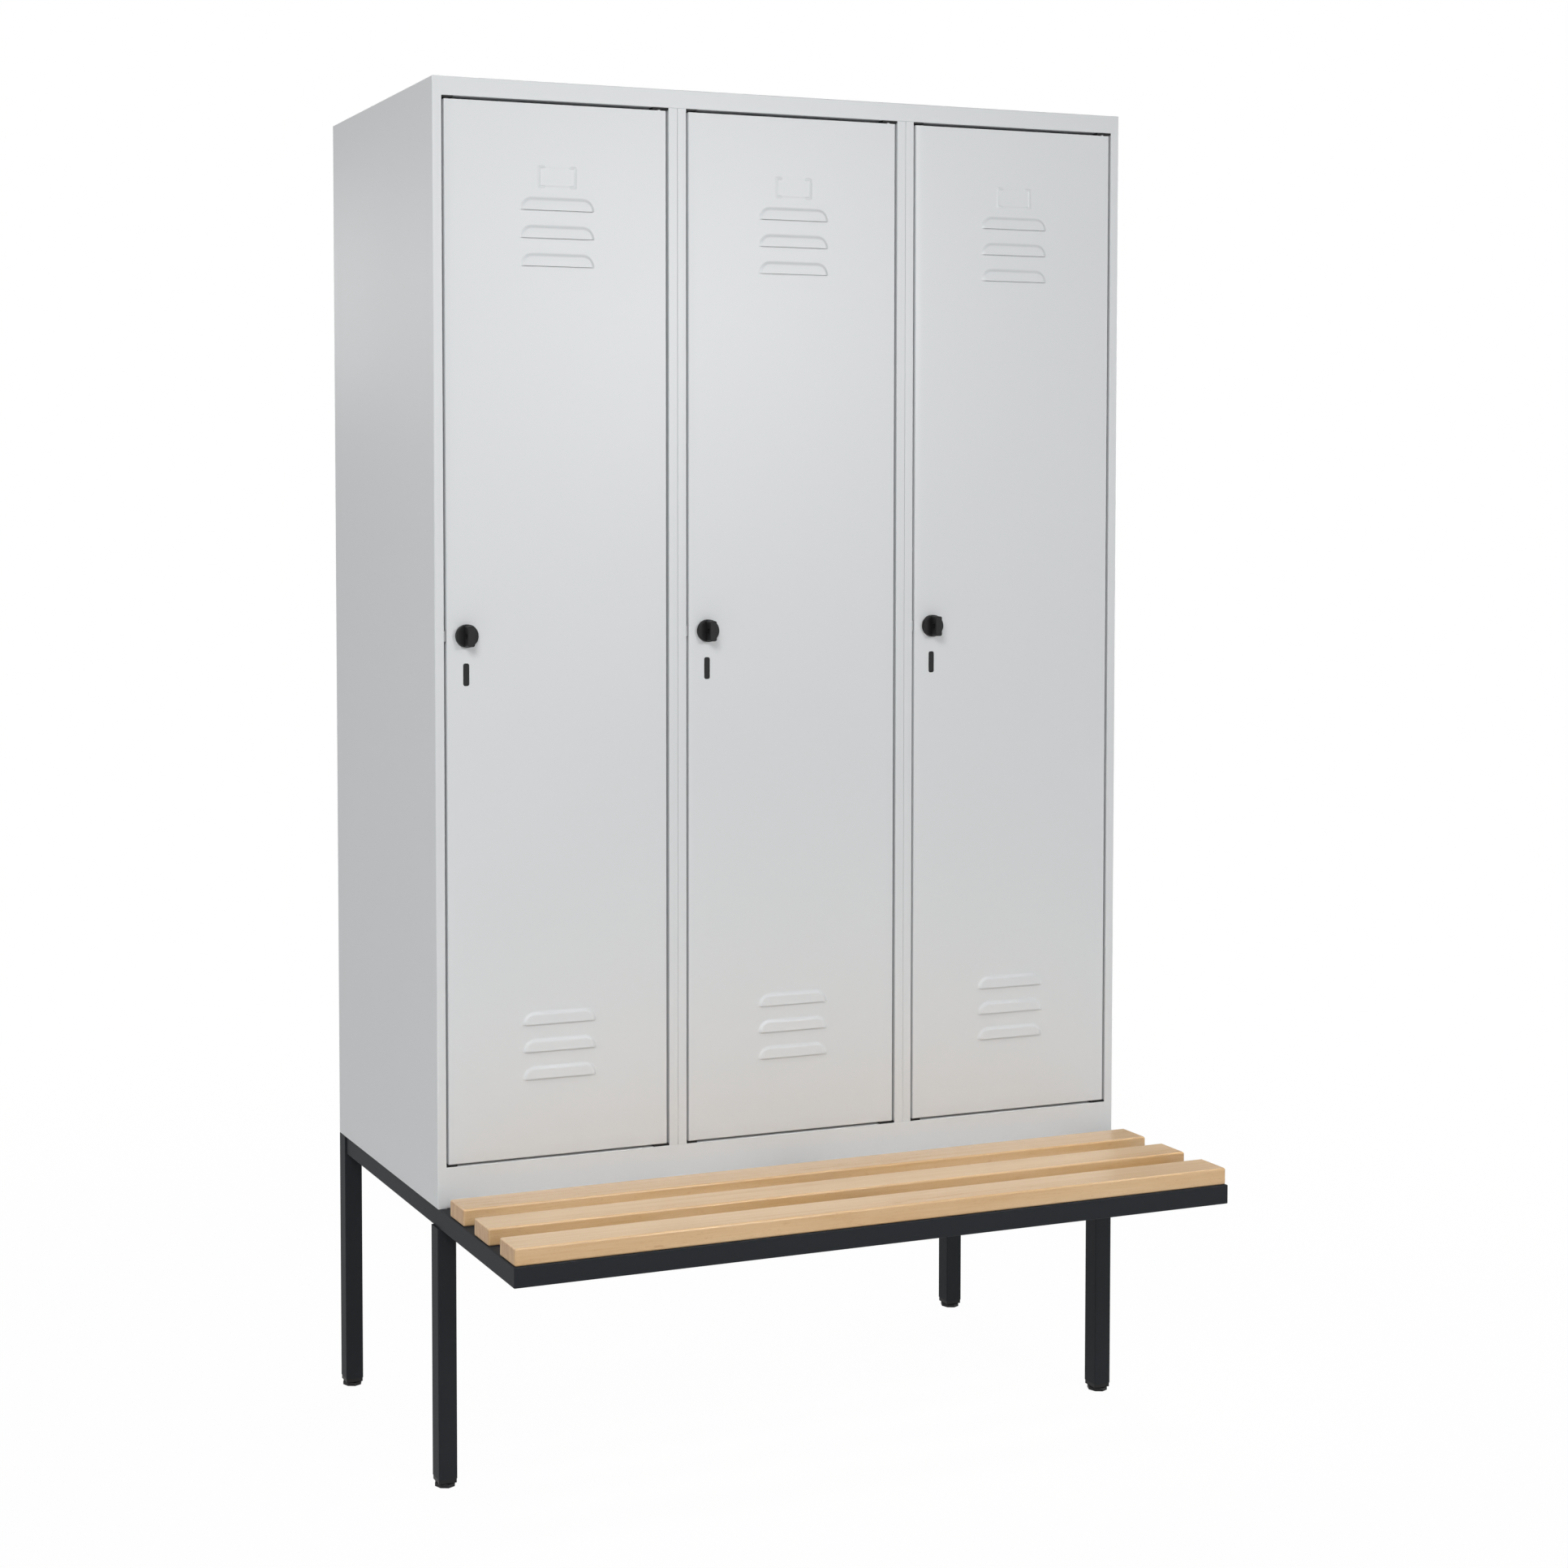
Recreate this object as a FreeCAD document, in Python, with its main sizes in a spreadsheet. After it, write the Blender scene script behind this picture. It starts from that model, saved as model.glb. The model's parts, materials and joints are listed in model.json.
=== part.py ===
"""Mudroom locker unit: a three-door steel locker on a tube frame with a slatted seat in front of it."""
import FreeCAD, Part
import os
import re

import Sketcher

BAYS = ("left", "middle", "right")
SLATS = ("front", "middle", "rear")
LOUVRES = 3
FOOT_SIDES = 8

SIZES = {
    # The whole unit
    "cabinet_width": 1200,
    "cabinet_depth": 500,
    "cabinet_height": 1700,
    "frame_height": 430,
    "bench_reach": 310,
    # Sheet steel and its folds
    "sheet": 0.9,
    "bend": 1.8,
    "fold": 1.2,
    "seam": 0.4,
    "seam_round": 0.5,
    "fit": 0.2,
    "running": 0.05,
    "overrun": 5,
    # Front of the cabinet
    "stile": 15,
    "header_height": 28.5,
    "sill_height": 62.5,
    "sill_return": 20,
    "reveal": 3.6,
    "lip_depth": 22,
    "back_flange": 15,
    # Doors
    "door_depth": 18,
    "door_return": 12,
    "hat_width": 40,
    "hat_depth": 12,
    "hat_flange": 12,
    "hat_margin": 28,
    # Ventilation louvres
    "louvre_width": 122,
    "louvre_height": 19.5,
    "louvre_lift": 3.2,
    "louvre_rim": 5,
    "louvre_pitch": 42,
    "upper_bank_drop": 160.4,
    "lower_bank_rise": 120.4,
    # Label holder
    "label_width": 62,
    "label_height": 32,
    "label_drop": 94.4,
    "label_rim": 3,
    "label_arm": 9,
    "label_lift": 0.8,
    "label_sink": 0.3,
    # Hinge pins, their bushes and the closing buffers
    "hinge_inset": 10,
    "hinge_setback": 7,
    "pin_radius": 3,
    "pin_head_radius": 5,
    "pin_head": 2,
    "bush_length": 26,
    "bush_depth": 14,
    "bush_thick": 2.9,
    "bush_setback": 0.6,
    "boss_radius": 4.6,
    "boss_rise": 3,
    "buffer_length": 17.5,
    "buffer_drop": 9,
    "buffer_stop": 3,
    # Turn knob lock
    "lock_inset": 31.4,
    "knob_radius": 17.5,
    "knob_base": 8.2,
    "knob_edge": 1,
    "grip_width": 12,
    "grip_rise": 16,
    "grip_inset": 1.05,
    "grip_slope": 0.6,
    "grip_taper": 0.5,
    "grip_round": 1.2,
    "grip_corner": 2.5,
    "shackle_place_share": 0.56,
    "shackle_radius": 4.2,
    "spindle_radius": 6,
    "tenon_radius": 4,
    "collar_radius": 9,
    "case_width": 34,
    "case_depth": 14,
    "case_over": 24,
    "case_under": 86,
    "case_round": 3,
    "slot_width": 10,
    "slot_height": 34.3,
    "slot_drop": 58.5,
    "slot_round": 3.2,
    "slot_sink": 0.5,
    "cam_width": 16,
    "cam_thick": 3,
    "cam_reach": 43,
    "cam_clear": 0.6,
    "strike_height": 16,
    "strike_thick": 2.5,
    "strike_setback": 1.6,
    # Inside each compartment
    "shelf_drop": 290,
    "shelf_setback": 60,
    "shelf_flange": 18,
    "rail_radius": 10,
    "rail_wall": 1.5,
    "rail_drop": 60,
    "rail_setback": 255,
    "socket_radius": 15,
    "socket_depth": 12,
    "socket_plate": 2.5,
    "hook_height": 45,
    "hook_thick": 2,
    "hook_width": 16,
    "hook_reach": 26,
    "hook_tip": 18,
    "hook_bend": 6,
    "hook_drop": 190,
    "hook_setback": 150,
    # Square tube frame
    "tube": 30,
    "tube_wall": 2,
    "tube_round": 1.5,
    "rail_inset": 3,
    # Feet and the plugs that carry them
    "foot_height": 5.5,
    "foot_radius": 16.4,
    "foot_round": 1,
    "foot_gap": 1,
    "stud_radius": 4,
    "stud_length": 32,
    "collar_height": 6.5,
    "collar_step": 0.6,
    "plug_length": 26,
    # Seat slats
    "slat_depth": 60,
    "slat_thick": 26,
    "slat_pitch": 103.5,
    "slat_setback": 2,
    "slat_inset": 2,
    "slat_round": 3,
    # Fasteners
    "screw_radius": 3,
    "screw_head_radius": 6,
    "screw_head": 3.5,
    "screw_bite": 17,
    "screw_place_share": 0.66,
    "bolt_radius": 3,
    "bolt_head_radius": 5,
    "bolt_head": 4,
    "bolt_length": 12,
    "bolt_inset": 8,
    "bolt_margin": 60,
}

doc = FreeCAD.newDocument("locker_unit")
sheet = doc.addObject("Spreadsheet::Sheet", "Sizes")
for row, (alias, value) in enumerate(SIZES.items(), start=1):
    sheet.set(f"A{row}", alias)
    sheet.set(f"B{row}", str(value))
    sheet.setAlias(f"B{row}", alias)
doc.recompute()

# Lengths and places that follow from the sizes; the origin is on the floor, at the middle of the plan
SIDE = "(cabinet_width / 2)"
FRONT = "((bench_reach - cabinet_depth) / 2)"
BACK = "((bench_reach + cabinet_depth) / 2)"
SEAT_FRONT = "(0 - (bench_reach + cabinet_depth) / 2)"
TOP = "(frame_height + cabinet_height)"
BAY = f"(cabinet_width / {len(BAYS)})"
OPENING_WIDTH = f"({BAY} - 2 * stile)"
OPENING_HEIGHT = "(cabinet_height - sill_height - header_height)"
OPENING_LOW = "(frame_height + sill_height)"
DOOR_WIDTH = f"({OPENING_WIDTH} - 2 * reveal)"
DOOR_HEIGHT = f"({OPENING_HEIGHT} - 2 * reveal)"
LOCK_HEIGHT = f"({DOOR_HEIGHT} / 2)"
WALL = "(sheet + seam / 2)"
ROOM = f"({BAY} - 2 * {WALL} - 2 * fit)"
SHELF_TOP = f"({TOP} - shelf_drop)"
RAIL_LOW = "(frame_height - tube)"
LEG_FOOT = "(foot_height + foot_gap + collar_height)"
CAM_FRONT = "(lip_depth + cam_clear)"

nodes = {}


def tied(text):
    """Name the sheet before each size in an expression."""
    return re.sub(r"\b[a-z]\w*\b(?!\()", lambda found: "Sizes." + found.group(), text)


def amount(text):
    """The value that an expression on the sizes has now."""
    return float(sheet.evalExpression(tied(text)))


def move(thing, x, y, z):
    """Tie the place of a thing to the sizes."""
    for axis, text in zip("xyz", (x, y, z)):
        thing.setExpression(f"Placement.Base.{axis}", tied(text))


def new_body(label, x="0", y="0", z="0", node=True):
    """Start a body at its place, and list it as a node unless it is only part of a group."""
    body = doc.addObject("PartDesign::Body", label)
    body.Label = label
    move(body, x, y, z)
    if node:
        nodes[label] = body
    return body


def reference(body, role):
    """A plane or an axis of the body's own origin."""
    return next(feature for feature in body.Origin.OriginFeatures if feature.Role == role)


def sketch_on(body, role, offset="0"):
    """A sketch on one of the body's planes, moved along the plane's normal."""
    sketch = body.newObject("Sketcher::SketchObject", "sketch")
    sketch.AttachmentSupport = [(reference(body, role), "")]
    sketch.MapMode = "FlatFace"
    sketch.setExpression("AttachmentOffset.Base.z", tied(offset))
    return sketch


def outline(sketch, corners):
    """Close a line through corners, each (across, up), or (across, up, radius, bulge) to leave on an arc.

    A bulge of 1 swells to the right of the way that the line runs, and -1 to the left.
    """
    first = sketch.GeometryCount
    spots = [FreeCAD.Vector(amount(corner[0]), amount(corner[1]), 0) for corner in corners]
    starts = []
    for corner, spot, after in zip(corners, spots, spots[1:] + spots[:1]):
        line = Part.LineSegment(spot, after)
        if len(corner) > 2:
            chord = after - spot
            radius = amount(corner[2])
            rise = radius - (radius ** 2 - (chord.Length / 2) ** 2) ** 0.5
            swell = FreeCAD.Vector(chord.y, -chord.x, 0).normalize() * (rise * corner[3])
            line = Part.Arc(spot, (spot + after) / 2 + swell, after)
        added = sketch.addGeometry(line, False)
        starts.append(1 if (sketch.getPoint(added, 1) - spot).Length < 1e-6 else 2)
    for k, corner in enumerate(corners):
        after = (k + 1) % len(corners)
        ends = (first + k, 3 - starts[k], first + after, starts[after])
        sketch.addConstraint(Sketcher.Constraint("Coincident", *ends))
        tie(sketch, first + k, starts[k], corner[0], corner[1])
        if len(corner) > 2:
            size_round(sketch, first + k, corner[2])


def tie(sketch, line, end, across, up):
    """Tie a point of a sketch to a place."""
    for kind, axis, text in (("DistanceX", -2, across), ("DistanceY", -1, up)):
        if abs(amount(text)) < 1e-9:
            sketch.addConstraint(Sketcher.Constraint("PointOnObject", line, end, axis))
            continue
        index = sketch.addConstraint(Sketcher.Constraint(kind, -1, 1, line, end, amount(text)))
        sketch.setExpression(f"Constraints[{index}]", tied(text))


def size_round(sketch, line, radius):
    """Tie the radius of an arc or a circle."""
    index = sketch.addConstraint(Sketcher.Constraint("Radius", line, amount(radius)))
    sketch.setExpression(f"Constraints[{index}]", tied(radius))


def rectangle(sketch, left, low, right, high):
    """A rectangle between two corners."""
    outline(sketch, [(left, low), (right, low), (right, high), (left, high)])


def circle(sketch, across, up, radius):
    """A circle about a place."""
    centre = FreeCAD.Vector(amount(across), amount(up), 0)
    added = sketch.addGeometry(Part.Circle(centre, FreeCAD.Vector(0, 0, 1), amount(radius)), False)
    tie(sketch, added, 3, across, up)
    size_round(sketch, added, radius)


def feature(body, kind, **settings):
    """Add a feature to the body, make it the tip and work it out."""
    added = body.newObject("PartDesign::" + kind, kind)
    for name, value in settings.items():
        if isinstance(value, str):
            added.setExpression(name, tied(value))
        else:
            setattr(added, name, value)
    body.Tip = added
    doc.recompute()
    return added


def pad(body, sketch, length, reverse=False):
    """Raise a sketch along its normal, or against it."""
    return feature(body, "Pad", Profile=sketch, Length=length, Reversed=reverse)


def pocket(body, sketch, length, reverse=False):
    """Cut a sketch in against its normal, or along it."""
    return feature(body, "Pocket", Profile=sketch, Length=length, Reversed=reverse)


def chosen(shapes, name, places):
    """Names of the edges or faces whose every corner lies at the given places."""
    wanted = {axis.upper(): amount(text) for axis, text in places.items()}
    return [
        f"{name}{k}"
        for k, shape in enumerate(shapes, start=1)
        if all(abs(getattr(v, axis) - at) < 1e-5 for v in shape.Vertexes for axis, at in wanted.items())
    ]


def edges(base, **places):
    """Names of the edges of a feature that lie at the given places."""
    return chosen(base.Shape.Edges, "Edge", places)


def faces(base, **places):
    """Names of the faces of a feature that lie at the given places."""
    return chosen(base.Shape.Faces, "Face", places)


def edges_along(base, axis):
    """Names of the straight edges of a feature that run along an axis."""
    names = []
    for k, edge in enumerate(base.Shape.Edges, start=1):
        run = edge.Vertexes[-1].Point - edge.Vertexes[0].Point
        if run.Length > 0 and abs(abs(getattr(run, axis)) - run.Length) < 1e-6:
            names.append(f"Edge{k}")
    return names


def round_off(body, base, names, radius):
    """Round the named edges."""
    return feature(body, "Fillet", Base=(base, names), Radius=radius)


def shell(body, base, names, wall):
    """Hollow the body from the named faces, and keep a wall."""
    return feature(body, "Thickness", Base=(base, names), Value=wall, Reversed=True)


def turned(label, profile, node=True):
    """A body turned about its Z axis from a half profile of (radius, height) corners."""
    body = new_body(label, node=node)
    half = sketch_on(body, "XZ_Plane")
    outline(half, profile)
    feature(body, "Revolution", Profile=half, ReferenceAxis=(half, ["V_Axis"]))
    return body


def copy_of(body, x, y, z, turn=None):
    """A further copy of a body at another place, turned first if a turn is given."""
    twin = doc.addObject("App::Link", body.Label + "_copy")
    twin.LinkedObject = body
    if turn:
        twin.Placement = FreeCAD.Placement(FreeCAD.Vector(), turn)
    move(twin, x, y, z)
    return twin


def group(label, members):
    """Several separate solids that share one node."""
    whole = doc.addObject("Part::Compound", label)
    whole.Label = label
    whole.Links = members
    doc.recompute()
    nodes[label] = whole


def bay_left(k):
    """Left edge of a compartment, counted from the left."""
    return f"({k} * {BAY} - {SIDE})"


def door_left(k):
    """Free edge of a door."""
    return f"({bay_left(k)} + stile + reveal)"


def door_low():
    """Lower edge of the doors."""
    return f"({OPENING_LOW} + reveal)"


def slat_screw(k):
    """Distance of a slat's screws behind the front of the seat."""
    return f"(slat_setback + {k} * slat_pitch + slat_depth * screw_place_share)"


def make_leg(label, x, y, high):
    """A square tube leg, closed at its top and open below for its plug."""
    body = new_body(label, x, y, LEG_FOOT)
    plan = sketch_on(body, "XY_Plane")
    rectangle(plan, "0", "0", "tube", "tube")
    block = pad(body, plan, f"{high} - {LEG_FOOT}")
    round_off(body, block, edges_along(block, "z"), "tube_round")
    bore = sketch_on(body, "XY_Plane")
    rectangle(bore, "tube_wall", "tube_wall", "tube - tube_wall", "tube - tube_wall")
    pocket(body, bore, f"{high} - {LEG_FOOT} - tube_wall", reverse=True)


def make_rail(label, x, y, plan_corners, axis, length, holes=()):
    """A level square tube with the ends that its plan gives, and upright holes for its fasteners."""
    body = new_body(label, x, y, RAIL_LOW)
    plan = sketch_on(body, "XY_Plane")
    outline(plan, plan_corners)
    block = pad(body, plan, "tube")
    round_off(body, block, edges_along(block, axis), "tube_round")
    low = "tube_wall"
    high = "tube - tube_wall"
    if axis == "y":
        bore = sketch_on(body, "XZ_Plane", "overrun")
        left, right = sorted((plan_corners[0][0], plan_corners[1][0]), key=amount)
        rectangle(bore, f"{left} + tube_wall", low, f"{right} - tube_wall", high)
        pocket(body, bore, f"{length} + 2 * overrun")
    else:
        bore = sketch_on(body, "YZ_Plane", "0 - overrun")
        rectangle(bore, "tube_wall", low, "tube - tube_wall", high)
        pocket(body, bore, f"{length} + 2 * overrun", reverse=True)
    for across, along, radius, start in holes:
        drill = sketch_on(body, "XY_Plane", start)
        circle(drill, across, along, radius)
        pocket(body, drill, "tube + overrun", reverse=True)


def make_frame():
    """Four legs and the rails that carry the cabinet and the seat."""
    leg_places = {
        "front_left_leg": (f"0 - {SIDE}", FRONT, RAIL_LOW),
        "front_right_leg": (f"{SIDE} - tube", FRONT, RAIL_LOW),
        "rear_left_leg": (f"0 - {SIDE}", f"{BACK} - tube", "frame_height"),
        "rear_right_leg": (f"{SIDE} - tube", f"{BACK} - tube", "frame_height"),
    }
    for label, (x, y, high) in leg_places.items():
        make_leg(label, x, y, high)
    side_length = "(bench_reach + cabinet_depth - tube)"
    for label, x, hand in (
        ("left_side_rail", f"rail_inset - {SIDE}", 1),
        ("right_side_rail", f"{SIDE} - rail_inset", -1),
    ):
        holes = [(f"{hand} * tube / 2", slat_screw(k), "screw_radius + fit", "0") for k in range(len(SLATS))]
        for margin in ("bolt_margin", "cabinet_depth - bolt_margin"):
            place = (f"{hand} * (bolt_inset - rail_inset)", f"bench_reach + {margin}")
            holes.append((*place, "bolt_radius + fit", "tube / 2"))
        corners = [
            ("0", side_length),
            (f"{hand} * tube", side_length),
            (f"{hand} * tube", "tube"),
            ("0", "0"),
        ]
        make_rail(label, x, SEAT_FRONT, corners, "y", side_length, holes)
    span = "(cabinet_width - 2 * rail_inset)"
    mitred = [("0", "0"), (span, "0"), (f"{span} - tube", "tube"), ("tube", "tube")]
    make_rail("bench_front_rail", f"rail_inset - {SIDE}", SEAT_FRONT, mitred, "x", span)
    inner = f"({span} - 2 * tube)"
    square = [("0", "0"), (inner, "0"), (inner, "tube"), ("0", "tube")]
    make_rail("middle_cross_rail", f"0 - {inner} / 2", FRONT, square, "x", inner)
    between = "(cabinet_width - 2 * tube)"
    square = [("0", "0"), (between, "0"), (between, "tube"), ("0", "tube")]
    make_rail("rear_cross_rail", f"0 - {between} / 2", f"{BACK} - tube", square, "x", between)
    reach = "(bench_reach - tube)"
    square = [("0", "0"), ("tube", "0"), ("tube", reach), ("0", reach)]
    holes = [("tube / 2", f"{slat_screw(k)} - tube", "screw_radius + fit", "0") for k in range(len(SLATS))]
    make_rail("centre_bearer", "0 - tube / 2", f"{SEAT_FRONT} + tube", square, "y", reach, holes)


def make_feet():
    """Plugs in the legs, and the screw feet that turn in them."""
    plug = new_body("leg_plug", node=False)
    head = sketch_on(plug, "XY_Plane")
    half = "(tube / 2 - collar_step)"
    rectangle(head, f"0 - {half}", f"0 - {half}", half, half)
    collar = pad(plug, head, "collar_height")
    round_off(plug, collar, edges_along(collar, "z"), "tube_round")
    insert = sketch_on(plug, "XY_Plane", "collar_height")
    inside = "(tube / 2 - tube_wall - fit)"
    rectangle(insert, f"0 - {inside}", f"0 - {inside}", inside, inside)
    pad(plug, insert, "plug_length")
    bore = sketch_on(plug, "XY_Plane")
    circle(bore, "0", "0", "stud_radius + running")
    pocket(plug, bore, "collar_height + plug_length", reverse=True)
    plugs = []
    for end, y in (("front", f"({FRONT} + tube / 2)"), ("rear", f"({BACK} - tube / 2)")):
        for side, x in (("left", f"(tube / 2 - {SIDE})"), ("right", f"({SIDE} - tube / 2)")):
            plugs.append(copy_of(plug, x, y, "foot_height + foot_gap"))
            foot = new_body(f"{end}_{side}_foot", x, y, "0")
            pad_plan = sketch_on(foot, "XY_Plane")
            outline(pad_plan, foot_corners())
            disc = pad(foot, pad_plan, "foot_height")
            round_off(foot, disc, edges(disc, z="foot_height"), "foot_round")
            stud = sketch_on(foot, "XY_Plane", "foot_height")
            circle(stud, "0", "0", "stud_radius")
            pad(foot, stud, "stud_length")
    group("leg_plugs", plugs)


def foot_corners():
    """Corners of the eight-sided foot, with one on the X axis."""
    corners = []
    for k in range(FOOT_SIDES):
        turn = 360 * k / FOOT_SIDES
        corners.append((f"foot_radius * cos({turn})", f"foot_radius * sin({turn})"))
    return corners


def make_seat():
    """Three slats with rounded edges, screwed down from below."""
    length = "(cabinet_width - 2 * rail_inset - 2 * slat_inset)"
    screw_rows = ("tube / 2 - slat_inset", f"{length} / 2", f"{length} + slat_inset - tube / 2")
    screw = turned("seat_screw", [
        ("0", "0 - screw_head"),
        ("screw_head_radius", "0 - screw_head"),
        ("screw_head_radius", "0"),
        ("screw_radius", "0"),
        ("screw_radius", "tube + screw_bite"),
        ("0", "tube + screw_bite"),
    ], node=False)
    screws = []
    for k, name in enumerate(SLATS):
        y = f"({SEAT_FRONT} + slat_setback + {k} * slat_pitch)"
        body = new_body(f"{name}_slat", f"0 - {length} / 2", y, "frame_height")
        plan = sketch_on(body, "XY_Plane")
        rectangle(plan, "0", "0", length, "slat_depth")
        block = pad(body, plan, "slat_thick")
        every = [f"Edge{n}" for n in range(1, len(block.Shape.Edges) + 1)]
        round_off(body, block, every, "slat_round")
        drill = sketch_on(body, "XY_Plane")
        for across in screw_rows:
            circle(drill, across, "slat_depth * screw_place_share", "screw_radius + fit")
            x = f"({across} - {length} / 2)"
            screws.append(copy_of(screw, x, f"{SEAT_FRONT} + {slat_screw(k)}", RAIL_LOW))
        pocket(body, drill, "screw_bite + fit", reverse=True)
    group("slat_screws", screws)


def wall_pan(label, x, z, hand, width, height, depth, low, corner, node=True):
    """A wall pressed as a shallow pan, with a stile and a rebate lip folded along its front edge."""
    body = new_body(label, x, FRONT, z, node)
    plan = sketch_on(body, "XY_Plane")
    rectangle(plan, "0", "0", f"{hand} * {width}", depth)
    block = pad(body, plan, height)
    pan = shell(body, block, faces(block, x=f"{hand} * {width}"), "sheet")
    round_off(body, pan, edges(pan, x="0"), corner)
    strip = sketch_on(body, "XZ_Plane")
    rectangle(strip, f"{hand} * ({width} - fold)", low, f"{hand} * {width}", f"{low} + {OPENING_HEIGHT}")
    pocket(body, strip, "sheet")
    lip = sketch_on(body, "XY_Plane", low)
    outline(lip, [
        (f"{hand} * ({width} - fold)", "0", "fold", hand),
        (f"{hand} * {width}", "fold"),
        (f"{hand} * {width}", "lip_depth"),
        (f"{hand} * ({width} - sheet)", "lip_depth"),
        (f"{hand} * ({width} - sheet)", "fold", "fold - sheet", -hand),
        (f"{hand} * ({width} - fold)", "sheet"),
    ])
    pad(body, lip, OPENING_HEIGHT)
    return body


def make_walls():
    """Two side panels, two doubled partitions and the back."""
    for label, x, hand in (("left_side_panel", f"0 - {SIDE}", 1), ("right_side_panel", SIDE, -1)):
        size = ("stile", "cabinet_height", "cabinet_depth")
        body = wall_pan(label, x, "frame_height", hand, *size, "sill_height", "bend")
        drill = sketch_on(body, "XY_Plane")
        for margin in ("bolt_margin", "cabinet_depth - bolt_margin"):
            circle(drill, f"{hand} * bolt_inset", margin, "bolt_radius + fit")
        pocket(body, drill, "2 * sheet", reverse=True)
    height = "(cabinet_height - sill_height - sheet)"
    for k, name in ((1, "left"), (2, "right")):
        halves = []
        for side, hand in (("left", -1), ("right", 1)):
            x = f"{bay_left(k)} + {hand} * seam / 2"
            label = f"{name}_partition_{side}_half"
            size = ("(stile - seam / 2)", height, "(cabinet_depth - 2 * sheet)")
            half = wall_pan(label, x, OPENING_LOW, hand, *size, "0", "seam_round", node=False)
            notch = sketch_on(half, "YZ_Plane", f"{hand} * (0 - overrun)")
            rectangle(notch, "0 - overrun", OPENING_HEIGHT, "lip_depth + fit", f"{height} + overrun")
            pocket(half, notch, "stile + 2 * overrun", reverse=hand > 0)
            halves.append(half)
        group(f"{name}_partition", halves)
    back = new_body("back_panel", f"sheet - {SIDE}", f"{BACK} - 2 * sheet", OPENING_LOW)
    face = sketch_on(back, "XZ_Plane")
    rectangle(face, "0", "0", "cabinet_width - 2 * sheet", height)
    pad(back, face, "sheet", reverse=True)


def make_ends():
    """Roof and floor, each folded from one sheet, whose front folds are the header and the sill."""
    length = "(cabinet_width - 2 * stile)"
    roof = new_body("roof_panel", f"stile - {SIDE}", FRONT, f"{TOP} - header_height")
    profile = sketch_on(roof, "YZ_Plane")
    outline(profile, [
        ("lip_depth", "0"),
        ("lip_depth", "sheet"),
        ("sheet", "sheet"),
        ("sheet", "header_height - sheet"),
        ("cabinet_depth - sheet", "header_height - sheet"),
        ("cabinet_depth - sheet", "header_height - back_flange"),
        ("cabinet_depth", "header_height - back_flange"),
        ("cabinet_depth", "header_height"),
        ("0", "header_height"),
        ("0", "0"),
    ])
    folded = pad(roof, profile, length)
    lower = round_off(roof, folded, edges(folded, y="0", z="0"), "fold")
    outer = edges(lower, y="0", z="header_height") + edges(lower, y="cabinet_depth", z="header_height")
    round_off(roof, lower, outer, "bend")
    drill_bushes(roof, "0", reverse=True)
    floor = new_body("floor_panel", f"stile - {SIDE}", FRONT, "frame_height")
    profile = sketch_on(floor, "YZ_Plane")
    outline(profile, [
        ("sill_return", "0"),
        ("sill_return", "sheet"),
        ("sheet", "sheet"),
        ("sheet", "sill_height - sheet"),
        ("cabinet_depth - sheet", "sill_height - sheet"),
        ("cabinet_depth - sheet", "0"),
        ("cabinet_depth", "0"),
        ("cabinet_depth", "sill_height"),
        ("0", "sill_height"),
        ("0", "0"),
    ])
    folded = pad(floor, profile, length)
    upper = round_off(floor, folded, edges(folded, y="0", z="sill_height"), "fold")
    round_off(floor, upper, edges(upper, y="0", z="0"), "bend")
    drill_bushes(floor, "sill_height", reverse=False)


def drill_bushes(body, height, reverse):
    """Holes for the bosses of the hinge bushes, in the header's lip or in the floor."""
    drill = sketch_on(body, "XY_Plane", height)
    for k in range(len(BAYS)):
        x = f"({hinge_x(k)} + {SIDE} - stile)"
        circle(drill, x, "hinge_setback", "boss_radius + fit")
    pocket(body, drill, "2 * sheet", reverse)


def hinge_x(k):
    """Line of a door's hinge pins."""
    return f"({door_left(k)} + {DOOR_WIDTH} - hinge_inset)"


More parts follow.
